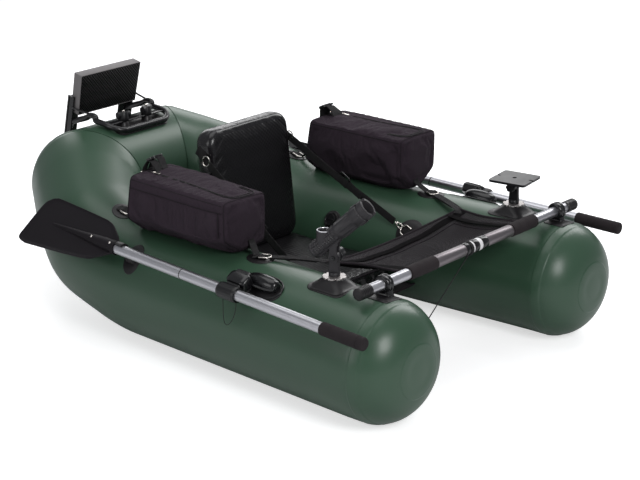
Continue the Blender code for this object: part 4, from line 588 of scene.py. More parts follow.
def hull_ring(centre, heading, pitch, radius, crease=None, relief=None):
    """An upright section facing heading; in a bend its inner half lies on the crease."""
    points = []
    for step in range(HULL_SIDES):
        angle = 2 * math.pi * (step + 0.5) / HULL_SIDES
        reach_out = radius + (relief(angle) if relief else 0)
        direction = heading
        reach = reach_out * math.cos(angle)
        if crease is not None and reach < 0:
            direction = crease[0]
            reach = reach / math.cos(crease[1] / 2)
        rise = reach_out * math.sin(angle) / math.cos(pitch)
        points.append(centre + Vector((reach * math.cos(direction), reach * math.sin(direction), rise)))
    return points


def leg_relief(aft):
    """Welds along a leg: the nose seam with its puckers, and the long tape low inboard."""
    def relief(angle):
        lean = math.pi / 2 - angle
        along = aft - NOSE_SEAM_AFT
        height = WELD_HEIGHT * band(along, WELD_WIDTH)
        wave = math.cos(PUCKER_COUNT * lean + 1.3 * math.sin(5 * lean))
        patchy = clamp(0.45 + 0.9 * noise.noise(Vector((3 * math.sin(lean), 3 * math.cos(lean), 4.2))))
        fade = math.exp(-(along / PUCKER_REACH) ** 2)
        height -= PUCKER_DEPTH * patchy * fade * (0.5 + 0.5 * wave)
        turn = math.atan2(math.sin(lean - TAPE_LEAN), math.cos(lean - TAPE_LEAN))
        if aft > NOSE_SEAM_AFT:
            across = abs(turn) * TUBE_RADIUS
            height += WELD_HEIGHT * 0.7 * ease((TAPE_HALF_WIDTH - across) / WELD_EDGE + 0.5)
        return height
    return relief


def seam_relief(distance):
    """The weld on each side of a mitre, at a distance from its plane, with faint puckers."""
    def relief(angle):
        height = WELD_HEIGHT * 1.2 * ease((WELD_WIDTH - distance) / WELD_EDGE + 0.5)
        groove = 0.0016 * math.exp(-(distance / 0.0035) ** 2)
        wave = 0.0006 * math.cos(38 * angle) * math.exp(-(distance / 0.012) ** 2)
        return height - groove + wave
    return relief


def diagonal_heading():
    return math.atan2(BEND_HALF_SPACING - STERN_HALF_WIDTH, STERN_AFT - BEND_AFT)


def corner_rings(gap, shares):
    """Rings round the left stern corner at shares of its turn; 0.5 is the mitre."""
    diagonal = diagonal_heading()
    turn = math.pi / 2 - diagonal
    seam = diagonal + turn / 2
    centre = at(STERN_HALF_WIDTH, STERN_AFT, hull_level(STERN_AFT))
    centre += Vector((-math.sin(seam), math.cos(seam), 0)) * gap
    rings = []
    for share in shares:
        distance = abs(share - 0.5) * turn * TUBE_RADIUS
        heading = diagonal + turn * share
        rings.append(hull_ring(centre, heading, 0, TUBE_RADIUS, (seam, turn), seam_relief(distance)))
    return rings


def spaced(low, high, count):
    return [low + (high - low) * step / count for step in range(count + 1)]


def whole_turn(count):
    """Angles all the way round, with no last one on top of the first."""
    return spaced(0, 2 * math.pi, count)[:-1]


def axis_of(placement, index):
    """The direction of a placement's local X, Y or Z."""
    return placement.to_3x3().col[index]


def pontoon_rings(side):
    rings = []
    disc = TUBE_RADIUS - NOSE_RADIUS
    for share in (0.02, 0.15, 0.35, 0.6, 0.85):
        rings.append(hull_ring(at(leg_spacing(0), -0.0022 * (1 - share * share), TUBE_RADIUS), 0, 0,
                               disc * share))
    edge_angle = math.asin((NOSE_DISC_RADIUS - disc) / NOSE_RADIUS)
    seam_angle = math.acos(1 - NOSE_SEAM_AFT / NOSE_RADIUS)
    angles = spaced(0.0, edge_angle - 0.03, 3) + spaced(edge_angle - 0.012, edge_angle + 0.012, 3)
    angles += spaced(edge_angle + 0.03, seam_angle - 0.15, 8)
    angles += spaced(seam_angle - 0.11, seam_angle + 0.30, 26) + spaced(seam_angle + 0.34, math.pi / 2, 5)
    for angle in angles:
        aft = NOSE_RADIUS - NOSE_RADIUS * math.cos(angle)
        lift = WELD_HEIGHT * (1 - ease((angle - edge_angle) / 0.02 + 0.5))
        reach = disc + NOSE_RADIUS * math.sin(angle) + lift * math.sin(angle)
        centre = at(leg_spacing(aft), aft - lift * math.cos(angle), TUBE_RADIUS)
        rings.append(hull_ring(centre, 0, 0, reach, None, leg_relief(aft)))
    diagonal = diagonal_heading()
    bend_start = BEND_AFT - 0.012 - TUBE_RADIUS * math.tan(diagonal / 2)
    for aft in spaced(0.16, LIFT_START_AFT, 20) + spaced(LIFT_START_AFT + 0.02, bend_start, 12):
        centre = at(leg_spacing(aft), aft, hull_level(aft))
        rings.append(hull_ring(centre, 0, math.atan(hull_slope(aft)), TUBE_RADIUS, None, leg_relief(aft)))
    first_bend = len(rings) - 6
    centre = at(BEND_HALF_SPACING, BEND_AFT, hull_level(BEND_AFT))
    pitch = math.atan(hull_slope(BEND_AFT) * math.cos(diagonal / 2))
    for heading in spaced(0, diagonal, 14):
        rings.append(hull_ring(centre, heading, pitch, TUBE_RADIUS, (diagonal / 2, diagonal)))
    for share in (0.33, 0.42, 0.53, 0.64):
        aft = BEND_AFT + (STERN_AFT - BEND_AFT) * share
        spacing = BEND_HALF_SPACING + (STERN_HALF_WIDTH - BEND_HALF_SPACING) * share
        pitch = math.atan(hull_slope(aft) * math.cos(diagonal))
        rings.append(hull_ring(at(spacing, aft, hull_level(aft)), diagonal, pitch, TUBE_RADIUS))
    bend = range(first_bend, len(rings) - 1)
    for _ in range(BEND_PASSES):
        rings = [[(rings[n - 1][k] + ring[k] * 2 + rings[n + 1][k]) / 4 for k in range(HULL_SIDES)]
                 if n in bend else ring for n, ring in enumerate(rings)]
    rings += corner_rings(-CLEARANCE / 2, spaced(0, 0.5, 18))
    if side == LEFT:
        return rings
    return [[Vector((-point.x, point.y, point.z)) for point in ring] for ring in rings]


def make_hull():
    for side, name in SIDES.items():
        hull = mesh_object(f"{name}_chamber", *lofted(pontoon_rings(side)), [FINISHES["hull"]],
                           math.radians(60))
        put(hull, "hull", "hull_skin", f"{name}_pontoon")
    half = corner_rings(CLEARANCE / 2, spaced(0.5, 1, 18))
    stern = half + [[Vector((-p.x, p.y, p.z)) for p in ring] for ring in half][::-1]
    hull = mesh_object("stern_chamber", *lofted(stern), [FINISHES["hull"]], math.radians(60))
    put(hull, "hull", "hull_skin", "stern_tube")


# Patches, rings and tabs on the hull

PATCH_THICKNESS = 0.0028
TAB_HEIGHT = 0.010
RING_WIRE = 0.0022
RING_HALF_WIDTH = 0.015
RING_LENGTH = 0.030


def patch_shape(side, aft, lean, outline, thickness=PATCH_THICKNESS):
    """A thin moulded patch that follows the tube's curve, with a rolled edge."""
    rings = []
    for share, height in ((1.0, -0.0006), (1.0, 0.0006), (0.985, 0.0016), (0.95, 0.0022), (0.90, 0.0018),
                          (0.84, 0.0024), (0.6, 0.0028), (0.3, 0.0030), (0.02, 0.0030)):
        lift = height / 0.0030 * thickness
        rings.append([skin_point(side, aft + u * share, lean + v * share / TUBE_RADIUS, lift)
                      for u, v in outline])
    return lofted(rings)


def ring_start(placement, normal):
    """Where a D-ring leaves the face of its patch."""
    return placement.translation + normal * (PATCH_THICKNESS + TAB_HEIGHT / 2)


def ring_path(placement, direction, length=RING_LENGTH, half=RING_HALF_WIDTH):
    """The bent wire of a D-ring that lies along direction on a patch."""
    normal = axis_of(placement, 2).normalized()
    along = (direction - normal * direction.dot(normal)).normalized()
    across = normal.cross(along)
    start = ring_start(placement, normal)
    points = [start + across * half * share for share in (1, 0.5, 0, -0.5, -1)]
    for step in range(17):
        angle = math.pi * step / 16
        reach = along * (length - half + half * math.sin(angle))
        points.append(start + reach - across * half * math.cos(angle))
    return points, start, along, across, normal


def tab_shape(start, along, across, normal, half_width=0.013, reach=0.019):
    """The folded webbing tab that holds a D-ring down, stitched ahead of and behind it."""
    rings = []
    for share in spaced(-1, 1, 16):
        lift = 0.0045 * math.exp(-(share * 2.6) ** 2)
        point = start + along * reach * share + normal * (lift - 0.0028)
        rings.append([point + across * half_width * u + normal * v
                      for u, v in ((1, -0.0012), (1, 0.0008), (0.5, 0.0014), (-0.5, 0.0014), (-1, 0.0008),
                                   (-1, -0.0012))])
    return lofted(rings)


def make_ring_patch(name, side, aft, lean, outline, direction):
    placement = skin_frame(side, aft, lean)
    add(f"{name}_patch", [patch_shape(side, aft, lean, outline)], "rubber", "hull", "black_rubber", name)
    points, start, along, across, normal = ring_path(placement, direction)
    add(f"{name}_ring", [tube(points, RING_WIRE, 12, closed=True)], "steel", "hull", "bright_steel")
    add(f"{name}_tab", [tab_shape(start, along, across, normal)], "webbing", "hull", "black_webbing")
    return start, along, across, normal


# Cords

BAR_AFT = 0.142
BAR_LEVEL = 0.355
BAR_KNOT_DROP = 0.0225
EYELET_AFT = 0.118
EYELET_LEAN = math.radians(-78)
OAR_STANDOFF = 0.0507
OAR_LEAN = math.radians(56)
GRIP_END_X = FRONT_HALF_SPACING + (TUBE_RADIUS + OAR_STANDOFF) * math.sin(OAR_LEAN)
GRIP_END_LEVEL = TUBE_RADIUS + (TUBE_RADIUS + OAR_STANDOFF) * math.cos(OAR_LEAN)
GRIP_END_AFT = 0.032
OAR_INWARD_SLOPE = (FRONT_HALF_SPACING - BEND_HALF_SPACING) / (BEND_AFT - TUBE_RADIUS)
OAR_RISE_SLOPE = 0.026
LOCK_AFT = 0.503
LOCK_SLEEVE_RADIUS = 0.0215


def oar_direction(side):
    return Vector((-side * OAR_INWARD_SLOPE, 1, OAR_RISE_SLOPE)).normalized()


def oar_point(side, aft):
    run = aft - GRIP_END_AFT
    return at(side * (GRIP_END_X - OAR_INWARD_SLOPE * run), aft, GRIP_END_LEVEL + OAR_RISE_SLOPE * run)


def cord_object(name, points, radius, material):
    curve = bpy.data.curves.new(name, "CURVE")
    curve.dimensions = "3D"
    curve.bevel_depth = radius
    curve.bevel_resolution = 3
    curve.use_fill_caps = True
    spline = curve.splines.new("POLY")
    spline.points.add(len(points) - 1)
    for place, point in zip(spline.points, points):
        place.co = (*point, 1)
    curve.materials.append(material)
    obj = bpy.data.objects.new(name, curve)
    bpy.context.scene.collection.objects.link(obj)
    return obj


def path_length(points):
    return sum((after - before).length for before, after in zip(points, points[1:]))


def bar_cord_ends():
    eyelet = skin_frame(RIGHT, EYELET_AFT, EYELET_LEAN)
    knot = at(-0.010, BAR_AFT, BAR_LEVEL - BAR_KNOT_DROP)
    run = (eyelet.translation - knot).normalized()
    return eyelet, knot, run, knot + run * 0.0073, eyelet.translation - run * 0.0063


def make_cords():
    *_, start, end = bar_cord_ends()
    points = [start + (end - start) * share for share in spaced(0, 1, 40)]
    cord = put(cord_object("bar_line", points, 0.0015, FINISHES["line"]), "hull", "black_line", "bar_cord")
    along = oar_direction(RIGHT)
    hanging = frame_at(oar_point(RIGHT, LOCK_AFT), along, UP)
    points = []
    for angle in spaced(0, math.pi, 56):
        out = 0.012 * math.sin(angle) ** 2
        drop = LOCK_SLEEVE_RADIUS + CLEARANCE + 0.065 * math.sin(angle)
        points.append(hanging @ Vector((-0.0245 * math.cos(angle), out, -drop)))
    cord = cord_object("oar_tether_line", points, 0.001, FINISHES["line"])
    put(cord, "right_oarlock", "black_line", "right_oar_tether")


# Soft pieces, filled out as cloth

VOXEL = 0.005
CLOTH_FRAMES = 20


def evaluated_points(obj):
    mesh = obj.evaluated_get(bpy.context.evaluated_depsgraph_get()).data
    points = np.empty(len(mesh.vertices) * 3)
    mesh.vertices.foreach_get("co", points)
    return points.reshape(-1, 3)


def even_mesh(obj):
    """Rebuilds a closed shape as an even net of small faces."""
    modifier = obj.modifiers.new("even", "REMESH")
    modifier.mode = "VOXEL"
    modifier.voxel_size = VOXEL
    modifier.use_smooth_shade = True
    graph = bpy.context.evaluated_depsgraph_get()
    mesh = bpy.data.meshes.new_from_object(obj.evaluated_get(graph), depsgraph=graph)
    obj.modifiers.clear()
    for material in obj.data.materials:
        if material.name not in mesh.materials:
            mesh.materials.append(material)
    obj.data = mesh
    return obj


def fill_out(jobs):
    """Blows each piece up as cloth between its held seams; no point goes past its cap."""
    starts = {}
    for obj, pressure, growth, cap, seams in jobs:
        even_mesh(obj)
        points = evaluated_points(obj)
        starts[obj.name] = points
        if seams is not None and len(seams):
            held = np.full(len(points), 1e9)
            for seam in seams:
                held = np.minimum(held, np.linalg.norm(points - np.array(seam), axis=1))
            group = obj.vertex_groups.new(name="held")
            group.add([int(index) for index in np.nonzero(held < VOXEL * 1.3)[0]], 1.0, "REPLACE")
        modifier = obj.modifiers.new("cloth", "CLOTH")
        settings = modifier.settings
        settings.quality = 4
        settings.mass = 0.25
        settings.tension_stiffness = settings.compression_stiffness = 12
        settings.shear_stiffness = 6
        settings.bending_stiffness = 0.35
        settings.use_pressure = True
        settings.uniform_pressure_force = pressure
        settings.shrink_min = -growth
        settings.effector_weights.gravity = 0
        if obj.vertex_groups:
            settings.vertex_group_mass = "held"
        modifier.point_cache.frame_start = 1
        modifier.point_cache.frame_end = CLOTH_FRAMES
    for number in range(1, CLOTH_FRAMES + 1):
        bpy.context.scene.frame_set(number)
    for obj, pressure, growth, cap, seams in jobs:
        move = evaluated_points(obj) - starts[obj.name]
        length = np.linalg.norm(move, axis=1, keepdims=True)
        move *= np.minimum(1, cap / np.maximum(length, 1e-9))
        obj.modifiers.clear()
        obj.data.vertices.foreach_set("co", (starts[obj.name] + move).ravel())
        obj.data.update()
    bpy.context.scene.frame_set(1)
    for obj, pressure, growth, cap, seams in jobs:
        obj.data.shade_smooth()
        finer = obj.modifiers.new("finer", "SUBSURF")
        finer.levels = finer.render_levels = 1


# Seat

FLOOR_TOP = 0.1005
FLOOR_FRONT_AFT = 0.500
FLOOR_BACK_AFT = 1.070
CUSHION_MIDDLE_AFT = 0.7675
CUSHION_HALF_LENGTH = 0.2325
CUSHION_HALF_WIDTH = 0.180
CUSHION_LOW = 0.1023
CUSHION_THICKNESS = 0.078
CUSHION_CROWN = 0.006
CUSHION_ROUNDING = 0.016


def floor_reach(aft):
    drop = hull_level(aft) - FLOOR_TOP
    return leg_spacing(aft) - math.sqrt(TUBE_RADIUS ** 2 - drop ** 2) + 0.0012


def edge_draw(level, low, high, low_radius, high_radius):
    """How far a section is drawn in at a level between two rounded rims."""
    for radius, depth in ((low_radius, level - low), (high_radius, high - level)):
        if depth < radius:
            return radius - math.sqrt(max(radius * radius - (radius - depth) ** 2, 0))
    return 0


def pad_rings(half_u, half_v, corner, low, high, low_radius, high_radius, crown=0.0, low_crown=0.0):
    """A rounded slab from its low face, with crowned faces, as rings of local points."""
    rings = []

    def ring(draw, level, share=0.0):
        inner = max(corner - draw, 0.004)
        outline = rounded(half_u - draw, half_v - draw, inner, 8)
        return [Vector((u * (1 - share), v * (1 - share), level)) for u, v in outline]
    for share in (0.97, 0.75, 0.5, 0.25):
        rings.append(ring(low_radius, low - low_crown * (1 - (1 - share) ** 2), share))
    levels = [low + low_radius * (1 - math.cos(a)) for a in spaced(0, math.pi / 2, 5)]
    levels += spaced(low + low_radius, high - high_radius, 6)[1:-1]
    levels += [high - high_radius * (1 - math.cos(a)) for a in reversed(spaced(0, math.pi / 2, 5))]
    for level in levels:
        rings.append(ring(edge_draw(level, low, high, low_radius, high_radius), level))
    for share in (0.25, 0.5, 0.75, 0.97):
        rings.append(ring(high_radius, high + crown * (1 - (1 - share) ** 2), share))
    return rings


def placed(rings, placement):
    return [[placement @ point for point in ring] for ring in rings]


def make_floor():
    rows = []
    stations = spaced(FLOOR_FRONT_AFT, FLOOR_BACK_AFT, 44)
    for aft in stations:
        reach = floor_reach(aft)
        row = []
        for step in range(31):
            across = 2 * step / 30 - 1
            edge = ease((abs(across) - 0.86) / 0.14)
            ripple = 0.0012 * math.sin(aft * 70 + across * 9) * (1 - edge)
            row.append(at(reach * across, aft, FLOOR_TOP - 0.004 * (1 - across * across) + ripple))
        rows.append(row)
    obj = sheet_object("floor_panel", rows, FINISHES["floor"], 0.0016)
    put(obj, "hull", "black_cloth", "seat_floor")
    hem = [point + Vector((0, 0, 0.001)) for point in rows[0]]
    add("floor_hem", [tube(hem, 0.0032, 10)], "piping", "hull", "black_cloth")


def sheet_object(name, rows, material, thickness):
    count = len(rows[0])
    verts = [point for row in rows for point in row]
    faces = []
    for row in range(len(rows) - 1):
        for step in range(count - 1):
            here = row * count + step
            faces.append((here, here + 1, here + count + 1, here + count))
    obj = mesh_object(name, verts, faces, [material], math.radians(180))
    thick = obj.modifiers.new("thickness", "SOLIDIFY")
    thick.thickness = thickness
    thick.offset = 0
    return obj


def make_cushion(jobs):
    placement = Matrix.Translation(at(0, CUSHION_MIDDLE_AFT, 0))
    high = CUSHION_LOW + CUSHION_THICKNESS
    rings = pad_rings(CUSHION_HALF_WIDTH, CUSHION_HALF_LENGTH, 0.05, CUSHION_LOW, high, CUSHION_ROUNDING,
                      CUSHION_ROUNDING, CUSHION_CROWN)
    obj = mesh_object("seat_pad", *lofted(placed(rings, placement)), [FINISHES["vinyl"], FINISHES["dimpled"]])
    put(obj, "hull", "black_cloth", "seat_cushion")
    seams = []
    for name, level in (("upper", high - CUSHION_ROUNDING * 0.6),
                        ("lower", CUSHION_LOW + CUSHION_ROUNDING * 0.6)):
        outline = rounded(CUSHION_HALF_WIDTH - 0.002, CUSHION_HALF_LENGTH - 0.002, 0.05, 10)
        path = dense([at(u, CUSHION_MIDDLE_AFT + v, level) for u, v in outline], closed=True)
        seams += path
        add(f"seat_{name}_piping", [tube(path, 0.0028, 8, closed=True)], "piping", "hull", "black_cloth")
    jobs.append((obj, 3.0, 0.03, 0.006, seams))
    return obj


def dress_cushion(obj):
    for face in obj.data.polygons:
        if face.normal.z > 0.8 and face.center.z > CUSHION_LOW + CUSHION_THICKNESS / 2:
            face.material_index = 1


# Backrest

BACK_HINGE = Vector((0, 0.0845, 0.1866))
BACK_RECLINE = math.radians(7)
BACK_HALF_WIDTH = 0.167
BACK_HEIGHT = 0.376
BACK_DEPTH = 0.072
BACK_CORNER = 0.045
BACK_FRONT_ROUNDING = 0.018
BACK_REAR_ROUNDING = 0.028
BACK_UP = Vector((0, math.sin(BACK_RECLINE), math.cos(BACK_RECLINE)))
BACK_REAR = Vector((0, math.cos(BACK_RECLINE), -math.sin(BACK_RECLINE)))


def back_point(x, height, depth):
    return BACK_HINGE + Vector((x, 0, 0)) + BACK_UP * height + BACK_REAR * depth


def make_backrest(jobs):
    placement = frame_at(back_point(0, BACK_HEIGHT / 2, 0), Vector((1, 0, 0)), BACK_REAR)
    rings = pad_rings(BACK_HALF_WIDTH, BACK_HEIGHT / 2, BACK_CORNER, 0, BACK_DEPTH, BACK_FRONT_ROUNDING,
                      BACK_REAR_ROUNDING, 0.003, 0.002)
    obj = mesh_object("back_pad", *lofted(placed(rings, placement)), [FINISHES["vinyl"], FINISHES["dimpled"]])
    put(obj, "backrest", "black_padding", "backrest")
    seams = []
    for depth, draw in ((0.0050, 0.0050), (0.058, 0.003)):
        outline = rounded(BACK_HALF_WIDTH - draw, BACK_HEIGHT / 2 - draw, BACK_CORNER - draw, 10)
        seams += dense([placement @ Vector((u, v, depth)) for u, v in outline], closed=True)
    jobs.append((obj, 2.0, 0.010, 0.004, seams))
    return obj


def dress_backrest(obj):
    """The dimpled front panel inside the smooth front rim."""
    for face in obj.data.polygons:
        local = face.center - BACK_HINGE
        across = abs(local.x) < BACK_HALF_WIDTH - 0.018
        height = 0.018 < local.dot(BACK_UP) < BACK_HEIGHT - 0.018
        if across and height and face.normal.dot(-BACK_REAR) > 0.75:
            face.material_index = 1


# Backrest straps, their anchors and the valves

STRAP_WIDTH = 0.024
STRAP_THICKNESS = 0.002
ANCHOR_AFT = 0.527
ANCHOR_LEAN = math.radians(-60)
ANCHOR_RADIUS = 0.045
HOOK_LENGTH = 0.030
VALVE_AFT = 0.801
VALVE_LEAN = math.radians(-65)
VALVE_CAP_RADIUS = 0.0181
VALVE_CAP_RIBS = 36
VALVE_CAP_RIB_DEPTH = 0.0004
STRAP_DROOP = 0.004
STRAP_WAVE = 0.0015
HOOK_EYE_MIDDLE = 0.010
HOOK_EYE_HALF_LENGTH = 0.009
HOOK_EYE_HALF_WIDTH = 0.007
HOOK_WIRE = 0.0022
HOOK_SHANK_RADIUS = 0.0028


def make_straps():
    for side, name in SIDES.items():
        placement = skin_frame(side, ANCHOR_AFT, ANCHOR_LEAN)
        normal = axis_of(placement, 2)
        top = back_point(side * BACK_HALF_WIDTH, BACK_HEIGHT * 0.84, BACK_DEPTH * 0.60)
        start = ring_start(placement, normal)
        away = (top - start).normalized()
        start, along, _, normal = make_ring_patch(f"{name}_strap_anchor", side, ANCHOR_AFT, ANCHOR_LEAN,
                                                  oval(ANCHOR_RADIUS, ANCHOR_RADIUS), away)
        hook_start = start + along * RING_LENGTH - away * RING_WIRE
        hook_end = hook_start + away * HOOK_LENGTH
        turn = away.cross(UP).normalized()
        bend = away.cross(turn).normalized()
        eye = [hook_start + away * (HOOK_EYE_MIDDLE - HOOK_EYE_HALF_LENGTH * math.cos(a)) + bend
               * HOOK_EYE_HALF_WIDTH * math.sin(a) for a in spaced(0.5, 5.6, 18)]
        shank = [hook_start + away * share for share in (0.017, 0.022, 0.027)]
        swivel = turned([(0.004, 0), (0.0062, 0.001), (0.0062, 0.004), (0.0045, 0.006)],
                        frame_at(hook_end - away * 0.012, turn, away), 20)
        add(f"{name}_snap_hook", [tube(eye, HOOK_WIRE, 10), tube(shank, HOOK_SHANK_RADIUS, 10), swivel],
            "steel", "hull", "bright_steel")

        facing = Vector((side, 0, 0))
        clear = facing * (STRAP_THICKNESS / 2 + CLEARANCE * 2)
        low = hook_end + away * CLEARANCE * 2
        high = top + clear
        run = high - low
        sag = [low + run * share - UP * STRAP_DROOP * math.sin(math.pi * share) + facing * STRAP_WAVE
               * math.sin(9 * share) for share in spaced(0, 1, 60)]
        band = ribbon(sag, lambda share: facing, STRAP_WIDTH, STRAP_THICKNESS)
        strap = joined(f"{name}_back_strap", [band], FINISHES["webbing"])
        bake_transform(strap)
        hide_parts(f"{name}_backrest_strap")

        buckle_middle = low + run * 0.44 + facing * 0.003
        frame_b = frame_at(buckle_middle, run, facing)
        rim = [frame_b @ Vector((u, v, 0)) for u, v in rounded(0.019, 0.0165, 0.004, 4)]
        bar = [frame_b @ Vector((0, v, 0.001)) for v in (-0.0165, 0, 0.0165)]
        doubled = [frame_b @ Vector((u, 0, -0.0005 + 0.0012 * math.cos(u * 60)))
                   for u in spaced(-0.075, -0.012, 12)]
        lap = ribbon(doubled, lambda share: facing, STRAP_WIDTH, STRAP_THICKNESS)
        buckle = joined(f"{name}_buckle", [tube(rim, 0.0024, 10, closed=True), tube(bar, 0.0022, 10)],
                        FINISHES["glossy"])
        lap = joined(f"{name}_strap_lap", [lap], FINISHES["webbing"])
        for piece, material_slot in ((buckle, "black_plastic"), (lap, "black_webbing")):
            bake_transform(piece)
        tab_frame = frame_at(high - away * 0.004, away, facing)
        tab = prism(rounded(0.018, 0.014, 0.002, 3), tab_frame, -0.0022, 0.0008, 0.0006)
        add(f"{name}_strap_tab", [tab], "webbing", "backrest", "black_webbing")
        middle = high - away * 0.036 + facing * 0.004
        ring = frame_at(middle, away, facing)
        outline = circle(ring, 0.013, 0.015, count=28)
        add(f"{name}_back_ring", [tube(outline, 0.0020, 8, closed=True)], "steel", "backrest", "bright_steel")


def make_valves():
    for side, name in SIDES.items():
        placement = skin_frame(side, VALVE_AFT, VALVE_LEAN)
        flange = turned([(0.0295, -0.002), (0.0295, 0.0008), (0.0285, 0.0016), (0.0245, 0.0022),
                         (0.0240, 0.0050), (0.0228, 0.0060), (0.0200, 0.0060), (0.0196, 0.0050),
                         (0.001, 0.0050)], placement, 56)
        add(f"{name}_valve_seat", [flange], "rubber", "hull", "black_rubber", f"{name}_valve")
        rings = []
        for share, height in ((0.98, 0.0064), (1.0, 0.0072), (1.0, 0.0125), (0.97, 0.0136), (0.90, 0.0141),
                              (0.86, 0.0133), (0.5, 0.0130), (0.02, 0.0130)):
            rings.append([])
            for step in range(144):
                angle = 2 * math.pi * step / 144
                ribs = VALVE_CAP_RIB_DEPTH * math.cos(VALVE_CAP_RIBS * angle) if share > 0.95 else 0
                reach = (VALVE_CAP_RADIUS + ribs) * share
                rings[-1].append(placement @ Vector((reach * math.cos(angle), reach * math.sin(angle),
                                                     height)))
        grip = prism(rounded(0.0135, 0.0022, 0.0020, 4), placement, 0.0125, 0.0138, 0.0004)
        add(f"{name}_screw_cap", [lofted(rings), grip], "plastic", f"{name}_valve_cap", "black_plastic",
            f"{name}_valve_cap")


# Side bags

BAG_FRONT_AFT = 0.605
BAG_LENGTH = 0.355
BAG_REAR_LEAN = 0.030
BAG_HALF_WIDTH = 0.083
BAG_MIDDLE_X = 0.374
BAG_TOP = 0.498
BAG_SAG = 0.004
BAG_ROUNDING = 0.014
BAG_HALF_SECTION = ((0.20, 0.0), (0.45, 0.075), (0.68, 0.155), (0.86, 0.225), (0.95, 0.28), (0.985, 0.36),
                    (1.0, 0.62), (1.0, 0.88), (0.985, 0.955), (0.93, 0.99), (0.80, 1.004), (0.4, 1.012))
BAG_FULL_SECTION = ((0.20, 0.0), (0.45, 0.01), (0.68, 0.02), (0.86, 0.03), (0.95, 0.065), (0.985, 0.17),
                    (1.0, 0.50), (1.0, 0.88), (0.985, 0.955), (0.93, 0.99), (0.80, 1.004), (0.4, 1.012))
BAG_INBOARD_SECTION = {RIGHT: BAG_FULL_SECTION, LEFT: BAG_HALF_SECTION}
BAG_TOP_DROP = {RIGHT: 0.011, LEFT: 0.0}
BAG_FOOT_RISE = 0.020
ZIP_COURSES = (((0.30, 0.95), (0.31, 0.50), (0.43, 0.20), (0.42, 0.10), (0.30, 0.055), (-0.35, 0.050),
                (-0.56, 0.085), (-0.64, 0.20)),
               ((0.36, 0.95), (0.37, 0.50), (0.50, 0.18), (0.49, 0.07), (0.34, 0.030), (-0.38, 0.025),
                (-0.64, 0.065), (-0.72, 0.20)))
FRONT_ANCHOR_AFT = 0.556
REAR_ANCHOR_AFT = 1.122
BAG_PATCH = (0.042, 0.033)
FRONT_ANCHOR_LEAN = math.radians(-1)
REAR_ANCHOR_LEAN = math.radians(8)


def bag_bottom():
    return hull_level(BAG_FRONT_AFT) + TUBE_RADIUS - BAG_SAG


def bag_place(side, across, along, up, out=0.0):
    """A point of a bag from shares of its half width (outboard), its length and its height."""
    front = clamp(1 - along / 0.28)
    bottom = bag_bottom() + BAG_FOOT_RISE * front * front
    top = BAG_TOP - BAG_TOP_DROP[side] * (1 - along) * (1 - 0.3 * across)
    level = bottom + (top - bottom) * up
    aft = BAG_FRONT_AFT + BAG_LENGTH * along + BAG_REAR_LEAN * along * (1 - up)
    return at(side * (BAG_MIDDLE_X + BAG_HALF_WIDTH * across), aft, level + out)


def bag_ring(side, along, draw):
    inboard = [(-across, up) for across, up in BAG_INBOARD_SECTION[side]]
    outline = list(BAG_HALF_SECTION) + inboard[::-1]
    outline = smooth_path([Vector((across, up, 0)) for across, up in outline], 4, closed=True)
    share_x = draw / BAG_HALF_WIDTH
    share_z = draw / (BAG_TOP - bag_bottom())
    points = []
    for place in outline:
        up = 0.5 + (place.y - 0.5) * (1 - 2 * share_z)
        points.append(bag_place(side, place.x * (1 - share_x), along, up))
    return points


def bag_shape(side):
    """A bag from its front face, round both rims, to its rear face."""
    rings = [bag_ring(side, 0, BAG_HALF_WIDTH * share) for share in (0.85, 0.55, 0.3)]
    rings += rim_rings(side)
    rings += [bag_ring(side, 1, BAG_HALF_WIDTH * share) for share in (0.3, 0.55, 0.85)]
    return lofted(rings)


def rim_rings(side):
    """The rings from the front rim, along the bag and round its rear rim."""
    rings = []
    for angle in spaced(0, math.pi / 2, 5):
        along = BAG_ROUNDING * (1 - math.cos(angle))
        rings.append(bag_ring(side, along / BAG_LENGTH, BAG_ROUNDING * (1 - math.sin(angle))))
    for share in spaced(BAG_ROUNDING / BAG_LENGTH, 1 - BAG_ROUNDING / BAG_LENGTH, 30)[1:-1]:
        rings.append(bag_ring(side, share, 0))
    for angle in spaced(math.pi / 2, 0, 5):
        along = BAG_ROUNDING * (1 - math.cos(angle))
        rings.append(bag_ring(side, 1 - along / BAG_LENGTH, BAG_ROUNDING * (1 - math.sin(angle))))
    return rings


